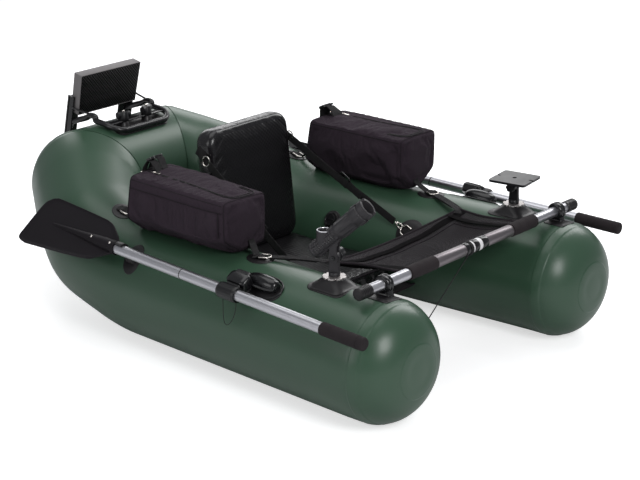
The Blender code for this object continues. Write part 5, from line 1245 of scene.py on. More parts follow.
def make_bags(jobs):
    for side, name in SIDES.items():
        obj = mesh_object(f"{name}_pouch", *bag_shape(side), [FINISHES["cloth"]])
        put(obj, "hull", "black_cloth", f"{name}_bag")
        seams = []
        piping = []
        for along in (BAG_ROUNDING * 0.35 / BAG_LENGTH, 1 - BAG_ROUNDING * 0.35 / BAG_LENGTH):
            path = bag_ring(side, along, BAG_ROUNDING * 0.20)
            seams += path
            piping.append(tube(path, 0.0009 if along < 0.5 else 0.0014, 8, closed=True))
        for across, up in ((0.985, 0.935), (-0.985, 0.935), (0.99, 0.27)):
            path = [bag_place(side, across, along, up) for along in spaced(0.03, 0.97, 24)]
            seams += path
            if up > 0.5:
                piping.append(tube(path, 0.0016, 8))
        zips = []
        for course in ZIP_COURSES:
            path = smooth_path([bag_place(side, across, along, 1.008, 0.0010) for across, along in course], 6)
            seams += path
            zips.append(tube(path, 0.0015, 6))
        flap = [bag_place(side, 1.0, along, 0.80, 0) + Vector((side * 0.0012, 0, 0))
                for along in spaced(0.02, 0.98, 30)]
        piping.append(tube(flap, 0.0012, 6))
        seams += flap
        corner = [bag_place(side, 1.0, 0.06, up) + Vector((side * 0.001, 0, 0))
                  for up in spaced(0.34, 0.80, 10)]
        piping.append(tube(corner, 0.0015, 6))
        add(f"{name}_bag_piping", piping, "piping", "hull", "black_cloth")
        add(f"{name}_zip_teeth", zips, "webbing", "hull", "black_plastic")
        jobs.append((obj, 1.2, 0.035, 0.007, seams))
        make_bag_straps(side, name)
        make_zip_pull(name)
        corner = at(side * APRON_BACK_HALF_WIDTH, APRON_BACK_AFT, APRON_BACK_LEVEL)
        bag_front = at(side * BAG_MIDDLE_X, BAG_FRONT_AFT, BAG_TOP)
        for end, aft, lean, target in (("front", FRONT_ANCHOR_AFT, FRONT_ANCHOR_LEAN, corner),
                                       ("rear", REAR_ANCHOR_AFT, REAR_ANCHOR_LEAN, bag_front)):
            make_ring_patch(f"{name}_{end}_bag_anchor", side, aft, lean, oval(*BAG_PATCH),
                            target - skin_point(side, aft, lean))


def make_bag_straps(side, name):
    """Webbing from the bag's ends to the patches, and the folded carrying strap with its buckle."""
    pieces = []
    low = skin_point(side, REAR_ANCHOR_AFT - 0.030, REAR_ANCHOR_LEAN, 0.009)
    path = smooth_path([bag_place(side, 0.06, 0.93, 1.0, 0.0030), bag_place(side, 0.06, 1.0, 0.985, 0.001),
                        bag_place(side, 0.10, 1.012, 0.55), low], 12)
    pieces.append(ribbon(path, lambda share: Vector((0, 0.4 + share, 1)), 0.020, 0.0018))
    path = smooth_path([bag_place(side, -0.2, 0.000, 0.20), bag_place(side, -0.2, -0.022, 0.09),
                        skin_point(side, FRONT_ANCHOR_AFT + 0.012, FRONT_ANCHOR_LEAN, 0.006)], 10)
    pieces.append(ribbon(path, lambda share: Vector((0, -1, 0.7 + share)), 0.022, 0.0018))
    for shift, rise in ((-0.16, 0.034), (0.12, 0.026)):
        path = smooth_path([bag_place(side, shift, 0.86, 1.0, 0.0015),
                            bag_place(side, shift, 0.90, 1.0, rise * 0.55),
                            bag_place(side, shift - 0.05, 0.95, 1.0, rise),
                            bag_place(side, shift - 0.04, 1.0, 1.0, rise * 0.85),
                            bag_place(side, shift + 0.05, 1.025, 0.96, 0.004),
                            bag_place(side, shift + 0.12, 1.020, 0.62)], 8)
        pieces.append(ribbon(path, lambda share: Vector((0, share * 1.6 - 0.4, 1)), 0.022, 0.0018))
    tail = [bag_place(side, across, 1.012, up) + Vector((0, 0.002, 0))
            for across, up in ((0.30, 0.92), (0.48, 0.70), (0.62, 0.44))]
    pieces.append(ribbon(smooth_path(tail, 8), lambda share: Vector((0, 1, 0.1)), 0.020, 0.0018))
    add(f"{name}_bag_straps", pieces, "webbing", "hull", "black_webbing")
    place = frame_at(bag_place(side, -0.18, 0.985, 1.0, 0.030), Vector((side, 0, 0)), Vector((0, 0.5, 1)))
    buckle = prism(rounded(0.017, 0.013, 0.004, 5), place, -0.0045, 0.0045, 0.0016)
    tongue = prism(rounded(0.008, 0.010, 0.003, 5), place @ Matrix.Translation((0.021, 0, 0)), -0.003,
                   0.003, 0.0010)
    add(f"{name}_bag_buckle", [buckle, tongue], "glossy", "hull", "black_plastic")
    hook = bag_place(side, 0.28, 1.018, 0.93)
    ring = [hook + Vector((side * 0.009 * math.cos(a), 0, 0.008 * math.sin(a))) for a in whole_turn(24)]
    add(f"{name}_bag_ring", [tube(ring, 0.0016, 8, closed=True)], "steel", "hull", "bright_steel")


def make_zip_pull(name):
    low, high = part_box(f"{name}_zip_pull")
    middle = (Vector(low) + Vector(high)) / 2
    middle.z = Vector(low).z
    placement = frame_at(middle, Vector((0, 1, 0)), UP)
    slider = prism(rounded(0.0055, 0.0042, 0.0020, 4), placement @ Matrix.Translation((0.0105, 0, 0)),
                   0.0016, 0.0046, 0.0006)
    tongue = prism(rounded(0.0105, 0.0035, 0.0030, 5), placement @ Matrix.Translation((-0.0040, 0, 0)),
                   0.0028, 0.0042, 0.0004)
    bail = [placement @ Vector((0.0075 + 0.0035 * math.cos(a), 0.0022 * math.sin(a), 0.0048))
            for a in whole_turn(16)]
    add(f"{name}_slider", [slider, tongue, tube(bail, 0.0008, 6, closed=True)], "steel", f"{name}_zip_pull",
        "bright_steel", f"{name}_zip_pull")


# Apron

APRON_BACK_AFT = 0.395
APRON_BACK_HALF_WIDTH = 0.293
APRON_BACK_LEVEL = 0.335
APRON_FRONT_HALF_WIDTH = 0.262
APRON_SWEEP = 0.053
APRON_SAG = 0.045
APRON_BELLY = 0.045
APRON_FRONT_AFT = BAR_AFT + 0.0195
APRON_FRONT_LEVEL = BAR_LEVEL - 0.0015
APRON_WAIST = 0.010
APRON_PULL = 0.0022
APRON_HEM_RADIUS = 0.0036
APRON_SEAM_RADIUS = 0.0019
APRON_BAND_SHARE = 0.90
APRON_BACK_BAND_WIDTH = 0.030
APRON_SIDE_BAND_WIDTH = 0.040
APRON_BAND_THICKNESS = 0.0012
APRON_ROWS = 40
APRON_COLUMNS = 80


def apron_point(across, back_share, lift=0.0):
    bow = 1 - across * across
    half = APRON_FRONT_HALF_WIDTH + (APRON_BACK_HALF_WIDTH - APRON_FRONT_HALF_WIDTH) * back_share
    half -= APRON_WAIST * math.sin(math.pi * back_share)
    back_aft = APRON_BACK_AFT + APRON_SWEEP * bow
    back_level = APRON_BACK_LEVEL - APRON_SAG * bow
    aft = APRON_FRONT_AFT + (back_aft - APRON_FRONT_AFT) * back_share
    level = APRON_FRONT_LEVEL + (back_level - APRON_FRONT_LEVEL) * back_share
    level -= APRON_BELLY * bow * math.sin(math.pi * back_share)
    pull = APRON_PULL * math.sin(math.pi * back_share) * math.sin(14 * across + 5 * back_share)
    return at(across * half, aft, level + pull + lift)


def make_apron():
    rows = [[apron_point(2 * column / APRON_COLUMNS - 1, row / APRON_ROWS)
             for column in range(APRON_COLUMNS + 1)] for row in range(APRON_ROWS + 1)]
    obj = sheet_object("apron_net", rows, FINISHES["net"], 0.0009)
    put(obj, "hull", "black_mesh", "apron")
    length = path_length([apron_point(0, share) for share in spaced(0, 1, 30)])
    width = path_length([apron_point(across, 1) for across in spaced(-1, 1, 60)])
    left = [apron_point(1, share) for share in spaced(0, 1, 20)]
    rim = [apron_point(across, 1) for across in spaced(1, -1, 60)]
    right = [apron_point(-1, share) for share in spaced(1, 0, 20)]
    edge = left + rim[1:-1] + right
    hem = [tube(edge, APRON_HEM_RADIUS, 10)]
    inner = [apron_point(0.80, share, 0.0008) for share in spaced(0.0, 0.78, 16)]
    inner += smooth_path([apron_point(across, 0.78 + 0.04 * (1 - abs(across)), 0.0008)
                          for across in spaced(0.78, -0.78, 12)], 4)
    inner += [apron_point(-0.80, share, 0.0008) for share in spaced(0.78, 0.0, 16)]
    hem.append(tube(inner, APRON_SEAM_RADIUS, 8))
    front = [apron_point(across, 0.012) for across in spaced(-1, 1, 60)]
    hem = joined("apron_hem", hem, FINISHES["piping"])
    sleeve = joined("apron_sleeve", [ribbon(front, lambda share: UP, 0.016, 0.0022)], FINISHES["webbing"])
    courses = [([apron_point(across, APRON_BAND_SHARE, 0.0009) for across in spaced(-0.985, 0.985, 60)],
                APRON_BACK_BAND_WIDTH)]
    courses += [([apron_point(side * APRON_BAND_SHARE, share, 0.0009) for share in spaced(0.03, 0.95, 24)],
                 APRON_SIDE_BAND_WIDTH) for side in SIDES]
    bands = joined("apron_bands", [ribbon(course, lambda share: UP, width, APRON_BAND_THICKNESS)
                                   for course, width in courses], FINISHES["net_band"])
    for piece, material_slot in ((hem, "black_cloth"), (sleeve, "black_webbing"), (bands, "black_cloth")):
        put(piece, "hull", material_slot)
    for side, name in SIDES.items():
        corner = apron_point(side * 0.985, 0.985, 0.001)
        placement = skin_frame(side, FRONT_ANCHOR_AFT, FRONT_ANCHOR_LEAN)
        normal = axis_of(placement, 2)
        start = ring_start(placement, normal)
        toward = corner - placement.translation
        toward = (toward - normal * toward.dot(normal)).normalized()
        ring_end = start + toward * (RING_LENGTH - 0.001)
        inside = apron_point(side * 0.93, 0.92, 0.002)
        path = smooth_path([inside, corner + UP * 0.0015, (corner + ring_end) / 2 + UP * 0.003, ring_end], 10)
        back = [point - UP * 0.003 for point in reversed(path[14:])]
        tab = ribbon(path + back, lambda share: UP, 0.024, 0.0016)
        add(f"{name}_apron_tab", [tab], "webbing", "hull", "black_webbing")


# Crossbar

BAR_SHIFT = 0.0135
BAR_HALF_LENGTH = 0.4825
BAR_RADIUS = 0.0145
SLEEVE_RADIUS = 0.0165
COLLAR_RADIUS = 0.0178
FOAM_RADIUS = 0.0188
FOAM_INNER = 0.170
FOAM_LENGTH = 0.112
END_CAP_RADIUS = 0.0168
END_CAP_LENGTH = 0.046
LOOP_HALF_SPACING = 0.387
LOOP_SHIFT = 0.024
LOOP_OUTER_RADIUS = 0.0248
LOOP_WIDTH = 0.026
LOOP_PATCH_AFT = 0.128
BAR_KNOT_WIRE = 0.0015
END_CAP_GROOVES = 5
END_CAP_GROOVE_PITCH = 0.0062
END_CAP_GROOVE_DEPTH = 0.0014


def ring_profile(low, high, radius, edge=0.0010, bore=0.0):
    """A collar's section from its low end to its high end with eased rims."""
    inner = bore or 0.0005
    return [(inner, low), (radius - edge, low), (radius - edge * 0.3, low + edge * 0.3),
            (radius, low + edge), (radius, high - edge), (radius - edge * 0.3, high - edge * 0.3),
            (radius - edge, high), (inner, high)]


def make_crossbar():
    placement = frame_at(at(BAR_SHIFT, BAR_AFT, BAR_LEVEL), UP, Vector((1, 0, 0)))
    end = BAR_HALF_LENGTH - 0.0045
    alloy = [turned(ring_profile(-end, end, BAR_RADIUS), placement, 56)]
    add("crossbar_alloy", alloy, "alloy", "hull", "bare_alloy", "crossbar_tube")
    sleeves = [turned(ring_profile(low, high, SLEEVE_RADIUS), placement, 56)
               for low, high in ((-FOAM_INNER + 0.0006, -0.0445), (0.0515, FOAM_INNER - 0.0006))]
    add("crossbar_sleeve", sleeves, "satin", "hull", "bare_alloy")
    dark = [turned(ring_profile(low, high, radius), placement, 56)
            for low, high, radius in ((-0.044, -0.0235, COLLAR_RADIUS), (-0.0095, 0.0105, COLLAR_RADIUS),
                                      (0.0255, 0.0510, COLLAR_RADIUS))]
    pale = [turned(ring_profile(low, high, COLLAR_RADIUS - 0.0006), placement, 56)
            for low, high in ((-0.0230, -0.0100), (0.0110, 0.0250))]
    add("crossbar_collar", dark, "glossy", "hull", "black_plastic")
    add("crossbar_rings", pale, "white", "hull", "grey_plastic")
    _, knot, run, *_ = bar_cord_ends()
    wraps = []
    for shift in (-0.0032, 0.0, 0.0032):
        loop = [placement @ Vector(((COLLAR_RADIUS + 0.0008) * math.cos(a),
                                    (COLLAR_RADIUS + 0.0008) * math.sin(a), -0.010 - BAR_SHIFT + shift))
                for a in whole_turn(40)]
        wraps.append(tube(loop, BAR_KNOT_WIRE, 8, closed=True))
    tie = [knot + UP * 0.006, knot + UP * 0.001 + run * 0.001, knot + run * 0.0070]
    wraps.append(tube(smooth_path(tie, 5), lambda share: 0.0026 - 0.0008 * abs(2 * share - 1), 10))
    add("bar_line_knot", wraps, "line", "hull", "black_line")

    for side, name in SIDES.items():
        low, high = FOAM_INNER, FOAM_INNER + FOAM_LENGTH
        section = [(BAR_RADIUS, low), (FOAM_RADIUS - 0.0016, low), (FOAM_RADIUS - 0.0004, low + 0.0009),
                   (FOAM_RADIUS, low + 0.003)]
        section += [(FOAM_RADIUS + 0.0003 * math.sin(along * 160), along)
                    for along in spaced(low + 0.01, high - 0.01, 14)]
        section += [(FOAM_RADIUS, high - 0.003), (FOAM_RADIUS - 0.0004, high - 0.0009),
                    (FOAM_RADIUS - 0.0016, high), (BAR_RADIUS, high)]
        shape = turned([(radius, side * along) for radius, along in section], placement, 56)
        foam = add(f"{name}_bar_foam", [shape], "foam", "hull", "black_foam", f"{name}_foam_sleeve")
        first = BAR_HALF_LENGTH - END_CAP_LENGTH
        section = [(BAR_RADIUS, first), (END_CAP_RADIUS - END_CAP_GROOVE_DEPTH, first),
                   (END_CAP_RADIUS, first + 0.0016)]
        for number in range(END_CAP_GROOVES):
            groove = first + 0.008 + END_CAP_GROOVE_PITCH * number
            section += [(END_CAP_RADIUS, groove), (END_CAP_RADIUS - END_CAP_GROOVE_DEPTH, groove + 0.0010),
                        (END_CAP_RADIUS - END_CAP_GROOVE_DEPTH, groove + 0.0024),
                        (END_CAP_RADIUS, groove + 0.0034)]
        last = BAR_HALF_LENGTH
        section += [(END_CAP_RADIUS, last - 0.004), (END_CAP_RADIUS - 0.0008, last - 0.0014),
                    (END_CAP_RADIUS - 0.003, last - 0.0002), (0.0005, last)]
        add(f"{name}_end_cap", [turned([(r, side * h) for r, h in section], placement, 56)], "rubber",
            "hull", "black_rubber", f"{name}_bar_end_cap")
        make_bar_loop(side, name, placement)


def make_bar_loop(side, name, placement):
    middle = side * LOOP_HALF_SPACING + LOOP_SHIFT - BAR_SHIFT
    half = LOOP_WIDTH / 2
    outer = LOOP_OUTER_RADIUS
    section = [(BAR_RADIUS, -half), (outer * 0.80, -half), (outer * 0.88, -half + 0.001),
               (outer * 0.985, -half + 0.004), (outer, -half + 0.0065), (outer * 0.985, -0.0022),
               (outer * 0.93, 0), (outer * 0.985, 0.0022), (outer, half - 0.0065),
               (outer * 0.985, half - 0.004), (outer * 0.88, half - 0.001), (outer * 0.80, half),
               (BAR_RADIUS, half)]
    ring = turned([(radius, middle + along) for radius, along in section], placement, 56)
    x = side * LOOP_HALF_SPACING + LOOP_SHIFT
    lean = math.asin((abs(x) - leg_spacing(LOOP_PATCH_AFT)) / TUBE_RADIUS)
    rings = []
    for share in spaced(0, 1, 10):
        level = BAR_LEVEL - outer * 0.55 - share * (BAR_LEVEL - outer * 0.55 - TUBE_RADIUS * 2 + 0.010)
        flare = 1 + 0.5 * ease(share * 1.4 - 0.4)
        outline = rounded(half * 0.80 * flare, 0.022 * (0.95 + 0.25 * share), 0.004, 4)
        rings.append([at(x, BAR_AFT, level) + Vector((u, v, 0)) for u, v in outline])
    add(f"{name}_loop", [ring, lofted(rings)], "glossy", "hull", "black_rubber", f"{name}_bar_loop")
    patch = patch_shape(side, LOOP_PATCH_AFT, lean / 2, rounded(0.034, 0.034, 0.010, 6))
    add(f"{name}_loop_patch", [patch], "rubber", "hull", "black_rubber")


# Accessory mounts

PAD_AFT = 0.278
PAD_TOP = 0.349
STAR_RADIUS = 0.031
STAR_NOTCH_RADIUS = 0.026
STAR_TOP = 0.3533


def upright(x, aft, level, along=None):
    return frame_at(at(x, aft, level), along or Vector((0, -1, 0)), UP)


def lobed_outline(radius, depth, lobes, count):
    """A round outline with shallow waves."""
    outline = []
    for step in range(count):
        angle = 2 * math.pi * step / count
        reach = radius - depth * (0.5 - 0.5 * math.cos(lobes * angle))
        outline.append((reach * math.cos(angle), reach * math.sin(angle)))
    return outline


def knob_shape(placement, radius, low, length, lobes=6, depth=0.0022):
    outline = lobed_outline(radius, depth, lobes, 96)
    shares = ((0.05, 0.0), (0.86, 0.0), (0.95, 0.03), (1.0, 0.10), (1.0, 0.80), (0.97, 0.90), (0.90, 0.97),
              (0.78, 1.0), (0.60, 1.0), (0.56, 0.96), (0.05, 0.96))
    return lofted([[placement @ Vector((u * share, v * share, low + length * up)) for u, v in outline]
                   for share, up in shares])


# The pads' mounds: half sizes, corner, share of the way from the skin to a plane, that plane's level
PAD_PROFILE = ((0.0560, 0.0470, 0.020, 0.0, 0.3250), (0.0535, 0.0450, 0.020, 0.15, 0.3275),
               (0.0470, 0.0410, 0.022, 0.6, 0.3340), (0.0400, 0.0370, 0.026, 0.9, 0.3395),
               (0.0335, 0.0330, 0.031, 1.0, 0.3445), (0.0315, 0.0315, 0.0314, 1.0, 0.3478),
               (0.0300, 0.0300, 0.0299, 1.0, PAD_TOP), (0.001, 0.001, 0.0009, 1.0, PAD_TOP))


def make_pads():
    for side, name in SIDES.items():
        lean = math.asin((FRONT_HALF_SPACING - leg_spacing(PAD_AFT)) / TUBE_RADIUS)
        patch = patch_shape(side, PAD_AFT, lean, rounded(0.062, 0.052, 0.022, 8), 0.0032)
        rings = []
        for half_u, half_v, corner, flat, level in PAD_PROFILE:
            ring = []
            for v, u in rounded(half_u, half_v, corner, 8):
                skin = hull_level(PAD_AFT + v) + math.sqrt(TUBE_RADIUS ** 2 - u * u) + 0.0020
                ring.append(at(side * FRONT_HALF_SPACING + u, PAD_AFT + v, skin + (level - skin) * flat))
            rings.append(ring)
        mound = lofted(rings)
        add(f"{name}_mount_pad", [patch, mound], "rubber", "hull", "black_rubber", f"{name}_accessory_pad")
        outline = []
        for step in range(128):
            angle = 2 * math.pi * step / 128
            notch = ease(2.2 * math.cos(8 * angle) - 1.1)
            reach = STAR_RADIUS - (STAR_RADIUS - STAR_NOTCH_RADIUS) * notch
            outline.append((reach * math.cos(angle), reach * math.sin(angle)))
        placement = upright(side * FRONT_HALF_SPACING, PAD_AFT, 0)
        star = prism(outline, placement, PAD_TOP + CLEARANCE, STAR_TOP, 0.0007)
        add(f"{name}_star", [star], "star", "hull", "bright_steel", f"{name}_star_plate")


def eye_post_shapes(x, eye, ahead, across):
    base = STAR_TOP + CLEARANCE
    foot = [(0.001, base), (0.0140, base), (0.0150, base + 0.0012), (0.0150, base + 0.0055),
            (0.0145, base + 0.0070), (0.0140, base + 0.0088), (0.0135, base + 0.0100),
            (0.001, base + 0.0100)]
    shapes = [turned(foot, upright(x, PAD_AFT, 0), 56)]
    half = 0.006
    drop = eye.z - base - 0.006
    rings = []
    for share in spaced(0, 1, 8):
        width = 0.013 * (1 + 0.16 * (1 - share) ** 2)
        outline = rounded(width, half, 0.0022, 4)
        rings.append([frame_at(eye, ahead, UP) @ Vector((u, v, -drop * (1 - share))) for u, v in outline])
    shapes.append(lofted(rings))
    eye_frame = frame_at(eye, ahead, across)
    shapes.append(turned([(0.001, -half), (0.0140, -half), (0.0150, -half + 0.001), (0.0150, half - 0.001),
                          (0.0140, half), (0.001, half)], eye_frame, 48))
    return shapes


def lug_shapes(eye, ahead, across, reach, spread=0.0, waist=0.013):
    side = frame_at(eye, ahead, across)
    up = 1 if axis_of(side, 1).z > 0 else -1
    shapes = []
    for low, high in ((0.0063, 0.0123), (-0.0123, -0.0063)):
        outline = [(0.013 * math.cos(a), -up * 0.013 * math.sin(a)) for a in spaced(0, math.pi, 16)]
        outline += [(-waist, up * reach * 0.36), (-waist * 1.1, up * reach * 0.62),
                    (-0.013 - spread, up * reach), (0.013 + spread, up * reach),
                    (waist * 1.1, up * reach * 0.62), (waist, up * reach * 0.36)]
        shapes.append(prism(outline, side, low, high, 0.0008))
    return shapes


def bolt_shapes(eye, ahead, across):
    """The pivot's nut on the side away from its knob."""
    side = frame_at(eye, ahead, across)
    hexagon = [(0.0068 * math.cos(a), 0.0068 * math.sin(a)) for a in whole_turn(6)]
    return [prism(hexagon, side, -0.0172, -0.0124, 0.0005),
            turned(ring_profile(-0.0192, -0.0172, 0.0038), side, 24)]


ROD_EYE_LEVEL = 0.4036
ROD_HEADING = math.radians(18.5)
ROD_ELEVATION = math.radians(43)
FINDER_EYE_LEVEL = 0.4056
FINDER_TWIST = math.radians(8.5)
# Height, steepness, number and shift of the ribs: none, the handle's, the body's and the head's notches
ROD_RIBS = ((0.0, 0.0, 0, 0.0), (0.0022, 2.2, 12, -0.6), (0.0018, 2.6, 8, 0.4), (-0.0016, 2.4, 6, -0.9))


def make_rod_holder():
    x = -FRONT_HALF_SPACING
    eye = at(x, PAD_AFT, ROD_EYE_LEVEL)
    heading, elevation = ROD_HEADING, ROD_ELEVATION

    ahead = Vector((math.sin(heading), -math.cos(heading), 0))
    across = Vector((math.cos(heading), math.sin(heading), 0))
    add("rod_post", eye_post_shapes(x, eye, ahead, across), "grey", "rod_holder_post", "grey_plastic",
        "rod_holder_post")
    axis = ahead * math.cos(elevation) + UP * math.sin(elevation)
    middle = eye + UP * 0.060
    placement = frame_at(middle - axis * 0.082, across, axis)
    length, handle, body, head, bore = 0.205, 0.0207, 0.0236, 0.0280, 0.0180
    sections = [(bore, 0.006, 0), (handle * 0.99, 0.006, 0), (handle * 1.03, 0.0072, 0),
                (handle * 1.03, 0.012, 0), (handle * 0.97, 0.0130, 0)]
    for along in spaced(0.015, 0.082, 9):
        sections += [(handle * 0.95, along, 1), (handle * 0.95, along + 0.0022, 1),
                     (handle * 1.01, along + 0.0034, 1), (handle * 1.01, along + 0.0062, 1)]
    sections += [(handle, 0.0935, 0), (body * 0.99, 0.100, 0), (body, 0.102, 0), (body, 0.108, 0),
                 (body * 0.955, 0.110, 2), (body * 0.955, 0.150, 2), (body, 0.152, 0), (body, 0.157, 0),
                 (head * 0.98, 0.1635, 0), (head, 0.166, 3), (head, 0.182, 3), (head * 0.93, 0.184, 3),
                 (head * 0.93, 0.187, 3), (head, 0.189, 0), (head, length - 0.0030, 0),
                 (head * 0.985, length - 0.0008, 0), (head * 0.94, length, 0), (bore * 1.12, length, 0),
                 (bore * 1.06, length - 0.012, 0)]
    sections += [(bore, length * share, 0) for share in (0.75, 0.5, 0.25)]
    rings = []
    for radius, along, pattern in sections:
        ring = []
        for step in range(96):
            angle = 2 * math.pi * step / 96
            height, steepness, number, shift = ROD_RIBS[pattern]
            rib = height * ease(steepness * math.cos(number * angle) + shift)
            slot = ease(-5.0 * math.cos(2 * angle) - 3.2) * max(0.0, along - length + 0.026)
            ring.append(placement @ Vector(((radius + rib) * math.cos(angle),
                                            (radius + rib) * math.sin(angle), along - slot)))
        rings.append(ring)
    collar = upright(0, 0, 0)
    collar.translation = middle - axis * 0.038
    shapes = [turned([(0.0215, 0.0), (0.0200, 0.033), (0.0175, 0.035), (0.0160, 0.033), (0.0155, 0.028),
                      (0.001, 0.026)], collar, 40)]
    rim = circle(collar, 0.0183, height=0.0345, count=40)
    add("rod_collar_rim", [tube(rim, 0.0016, 8, closed=True)], "alloy", "rod_holder_tube", "bright_steel")
    shapes += [lofted(rings, closed=True)] + lug_shapes(eye, ahead, across, 0.052, 0.004, 0.0092)
    add("rod_tube", shapes, "grey", "rod_holder_tube", "grey_plastic", "rod_holder_tube")
    add("rod_pivot_nut", bolt_shapes(eye, ahead, across), "glossy", "rod_holder_tube", "bright_steel")
    knob = knob_shape(frame_at(eye, ahead, across), 0.0185, 0.0126, 0.026)
    add("rod_knob", [knob], "plastic", "rod_holder_knob", "black_plastic", "rod_holder_knob")


def make_finder_mount():
    x = FRONT_HALF_SPACING
    eye = at(x, PAD_AFT, FINDER_EYE_LEVEL)
    twist = FINDER_TWIST
    ahead = Vector((math.sin(twist), -math.cos(twist), 0))
    across = Vector((-math.cos(twist), -math.sin(twist), 0))
    add("mount_post", eye_post_shapes(x, eye, ahead, across), "plastic", "finder_post", "black_plastic",
        "finder_post")
    add("mount_lugs", lug_shapes(eye, ahead, across, 0.0165, 0.004), "plastic", "finder_plate",
        "black_plastic")
    add("mount_pivot_nut", bolt_shapes(eye, ahead, across), "painted", "finder_plate", "bright_steel")
    dress("finder_plate", FINISHES["plastic"], 0.0014, 3)
    knob = knob_shape(frame_at(eye, ahead, across), 0.014, 0.0126, 0.018)
    add("mount_knob", [knob], "plastic", "finder_knob", "black_plastic", "finder_knob")


def dress(node, material, bevel=0.0008, segments=2):
    """A solid that stays as it is, with a new finish and eased edges."""
    obj = NODES[node]
    obj.data.materials.clear()
    obj.data.materials.append(material)
    obj.data.shade_smooth()
    obj.data.set_sharp_from_angle(angle=math.radians(36))
    if bevel:
        edges = obj.modifiers.new("edges", "BEVEL")
        edges.width = bevel
        edges.segments = segments
        edges.limit_method = "ANGLE"
        edges.angle_limit = math.radians(40)
        edges.harden_normals = True


# Oars, oarlocks and clips

BLADE_START = 0.915
BLADE_LENGTH = 0.361
BLADE_HALF_WIDTH = 0.083
BLADE_TILT = math.radians(37)
BLADE_OUTLINE = ((0.00, -0.18), (0.02, -0.26), (0.12, -0.56), (0.23, -0.80), (0.40, -0.87), (0.84, -0.95),
                 (0.92, -0.92), (0.965, -0.80), (1.00, -0.50), (1.00, 0.62), (0.995, 0.84), (0.97, 0.96),
                 (0.91, 1.02), (0.82, 1.01), (0.26, 0.78), (0.12, 0.54), (0.02, 0.26), (0.00, 0.18))
SHAFT_RADIUS = 0.015
PIN_TILT = math.radians(34)


def oar_frame(side):
    width = Vector((side * math.cos(BLADE_TILT), 0, -math.sin(BLADE_TILT)))
    return frame_at(oar_point(side, GRIP_END_AFT), width, oar_direction(side))


def make_oar(side, name):
    placement = oar_frame(side)
    end = BLADE_START + 0.0547
    shaft = [(0.0005, 0.0064), (SHAFT_RADIUS, 0.0064)]
    shaft += [(SHAFT_RADIUS, along) for along in spaced(0.15, end, 20)] + [(0.0005, end)]
    add(f"{name}_shaft", [turned(shaft, placement, 48)], "alloy", f"{name}_oar", "bare_alloy",
        f"{name}_oar_shaft")
    joint = [turned(ring_profile(0.6480, 0.6512, 0.0153, 0.0003), placement, 48)]
    add(f"{name}_shaft_joint", joint, "grey", f"{name}_oar", "grey_plastic")
    grip = [(0.0005, 0.0), (0.0130, 0.0), (0.0155, 0.0008), (0.0170, 0.0030), (0.0175, 0.0070),
            (0.0175, 0.0150), (0.0166, 0.0160), (0.0166, 0.0180), (0.0175, 0.0190)]
    grip += [(0.0175 + 0.0002 * math.sin(along * 300), along) for along in spaced(0.025, 0.130, 18)]
    grip += [(0.0175, 0.1370), (0.0170, 0.1398), (0.0154, 0.1408), (0.0005, 0.1408)]
    grip = add(f"{name}_grip", [turned(grip, placement, 48)], "foam", f"{name}_oar", "black_foam",
               f"{name}_oar_grip")

    outline = smooth_path([Vector((BLADE_HALF_WIDTH * across, BLADE_START + BLADE_LENGTH * along, 0))
                           for along, across in BLADE_OUTLINE], 5, closed=True)
    axes = placement.to_3x3()
    flat = Matrix.Translation(placement.translation) @ frame_at(Vector((0, 0, 0)), axes.col[0], axes.col[1])
    rings = []
    centre = Vector((0, BLADE_START + BLADE_LENGTH * 0.55, 0))
    away = 1 if axis_of(flat, 1).dot(axis_of(placement, 2)) > 0 else -1
    profile = ((0.02, 0.0016), (0.5, 0.0016), (0.86, 0.0016), (0.93, 0.0019), (0.955, 0.0030),
               (0.985, 0.0034), (1.0, 0.0018), (1.0, -0.0018), (0.985, -0.0034), (0.955, -0.0030),
               (0.93, -0.0019), (0.86, -0.0016), (0.5, -0.0016), (0.02, -0.0016))
    for share, rise in profile:
        ring = []
        for point in outline:
            place = centre + (point - centre) * share
            ring.append(flat @ Vector((place.x, away * place.y, rise)))
        rings.append(ring)
    rib_end = BLADE_START + BLADE_LENGTH * 0.76
    socket = [(0.0152, BLADE_START), (0.0185, BLADE_START), (0.0195, BLADE_START + 0.0012),
              (0.0195, BLADE_START + 0.010), (0.0186, BLADE_START + 0.011), (0.0186, BLADE_START + 0.055),
              (0.0165, BLADE_START + 0.080), (0.0115, BLADE_START + 0.140), (0.0065, rib_end - 0.05),
              (0.0033, rib_end), (0.0005, rib_end + 0.006)]
    add(f"{name}_blade", [lofted(rings), turned(socket, placement, 48)], "blade", f"{name}_oar",
        "black_plastic", f"{name}_oar_blade")
    rivets = []
    for along, turn, reach in ((0.018, 0, 0.0183), (0.098, 0, 0.0146), (0.018, math.pi, 0.0183),
                               (0.098, math.pi, 0.0146)):
        normal = axis_of(placement, 1) * math.cos(turn)
        origin = placement @ Vector((0, 0, BLADE_START + along)) + normal * reach
        rivets.append(turned([(0.0036, 0), (0.0034, 0.0010), (0.0024, 0.0018), (0.0004, 0.0021)],
                             frame_at(origin, axis_of(placement, 2), normal), 20))
    add(f"{name}_blade_rivets", rivets, "steel", f"{name}_oar", "bright_steel")


def lock_axes(side):
    """The pin's direction, the direction from it to the shaft, the shaft's place and the block's middle."""
    pin = Vector((side * math.sin(PIN_TILT), 0, math.cos(PIN_TILT)))
    along = oar_direction(side)
    swing = pin.cross(along).normalized()
    if swing.x * side < 0:
        swing = -swing
    shaft = oar_point(side, LOCK_AFT)
    return pin, swing, shaft, shaft - swing * 0.048


LOCK_PATCH_AFT = 0.478
LOCK_PATCH_LEAN = math.radians(36)
LOCK_BEZEL_AFT = 0.447
LOCK_BEZEL_LEAN = math.radians(33)
LOCK_CAPSULE_AFT = 0.450
LOCK_CAPSULE_LEAN = math.radians(32)
CLIP_AFT = 0.930
CLIP_LEAN = math.radians(50)


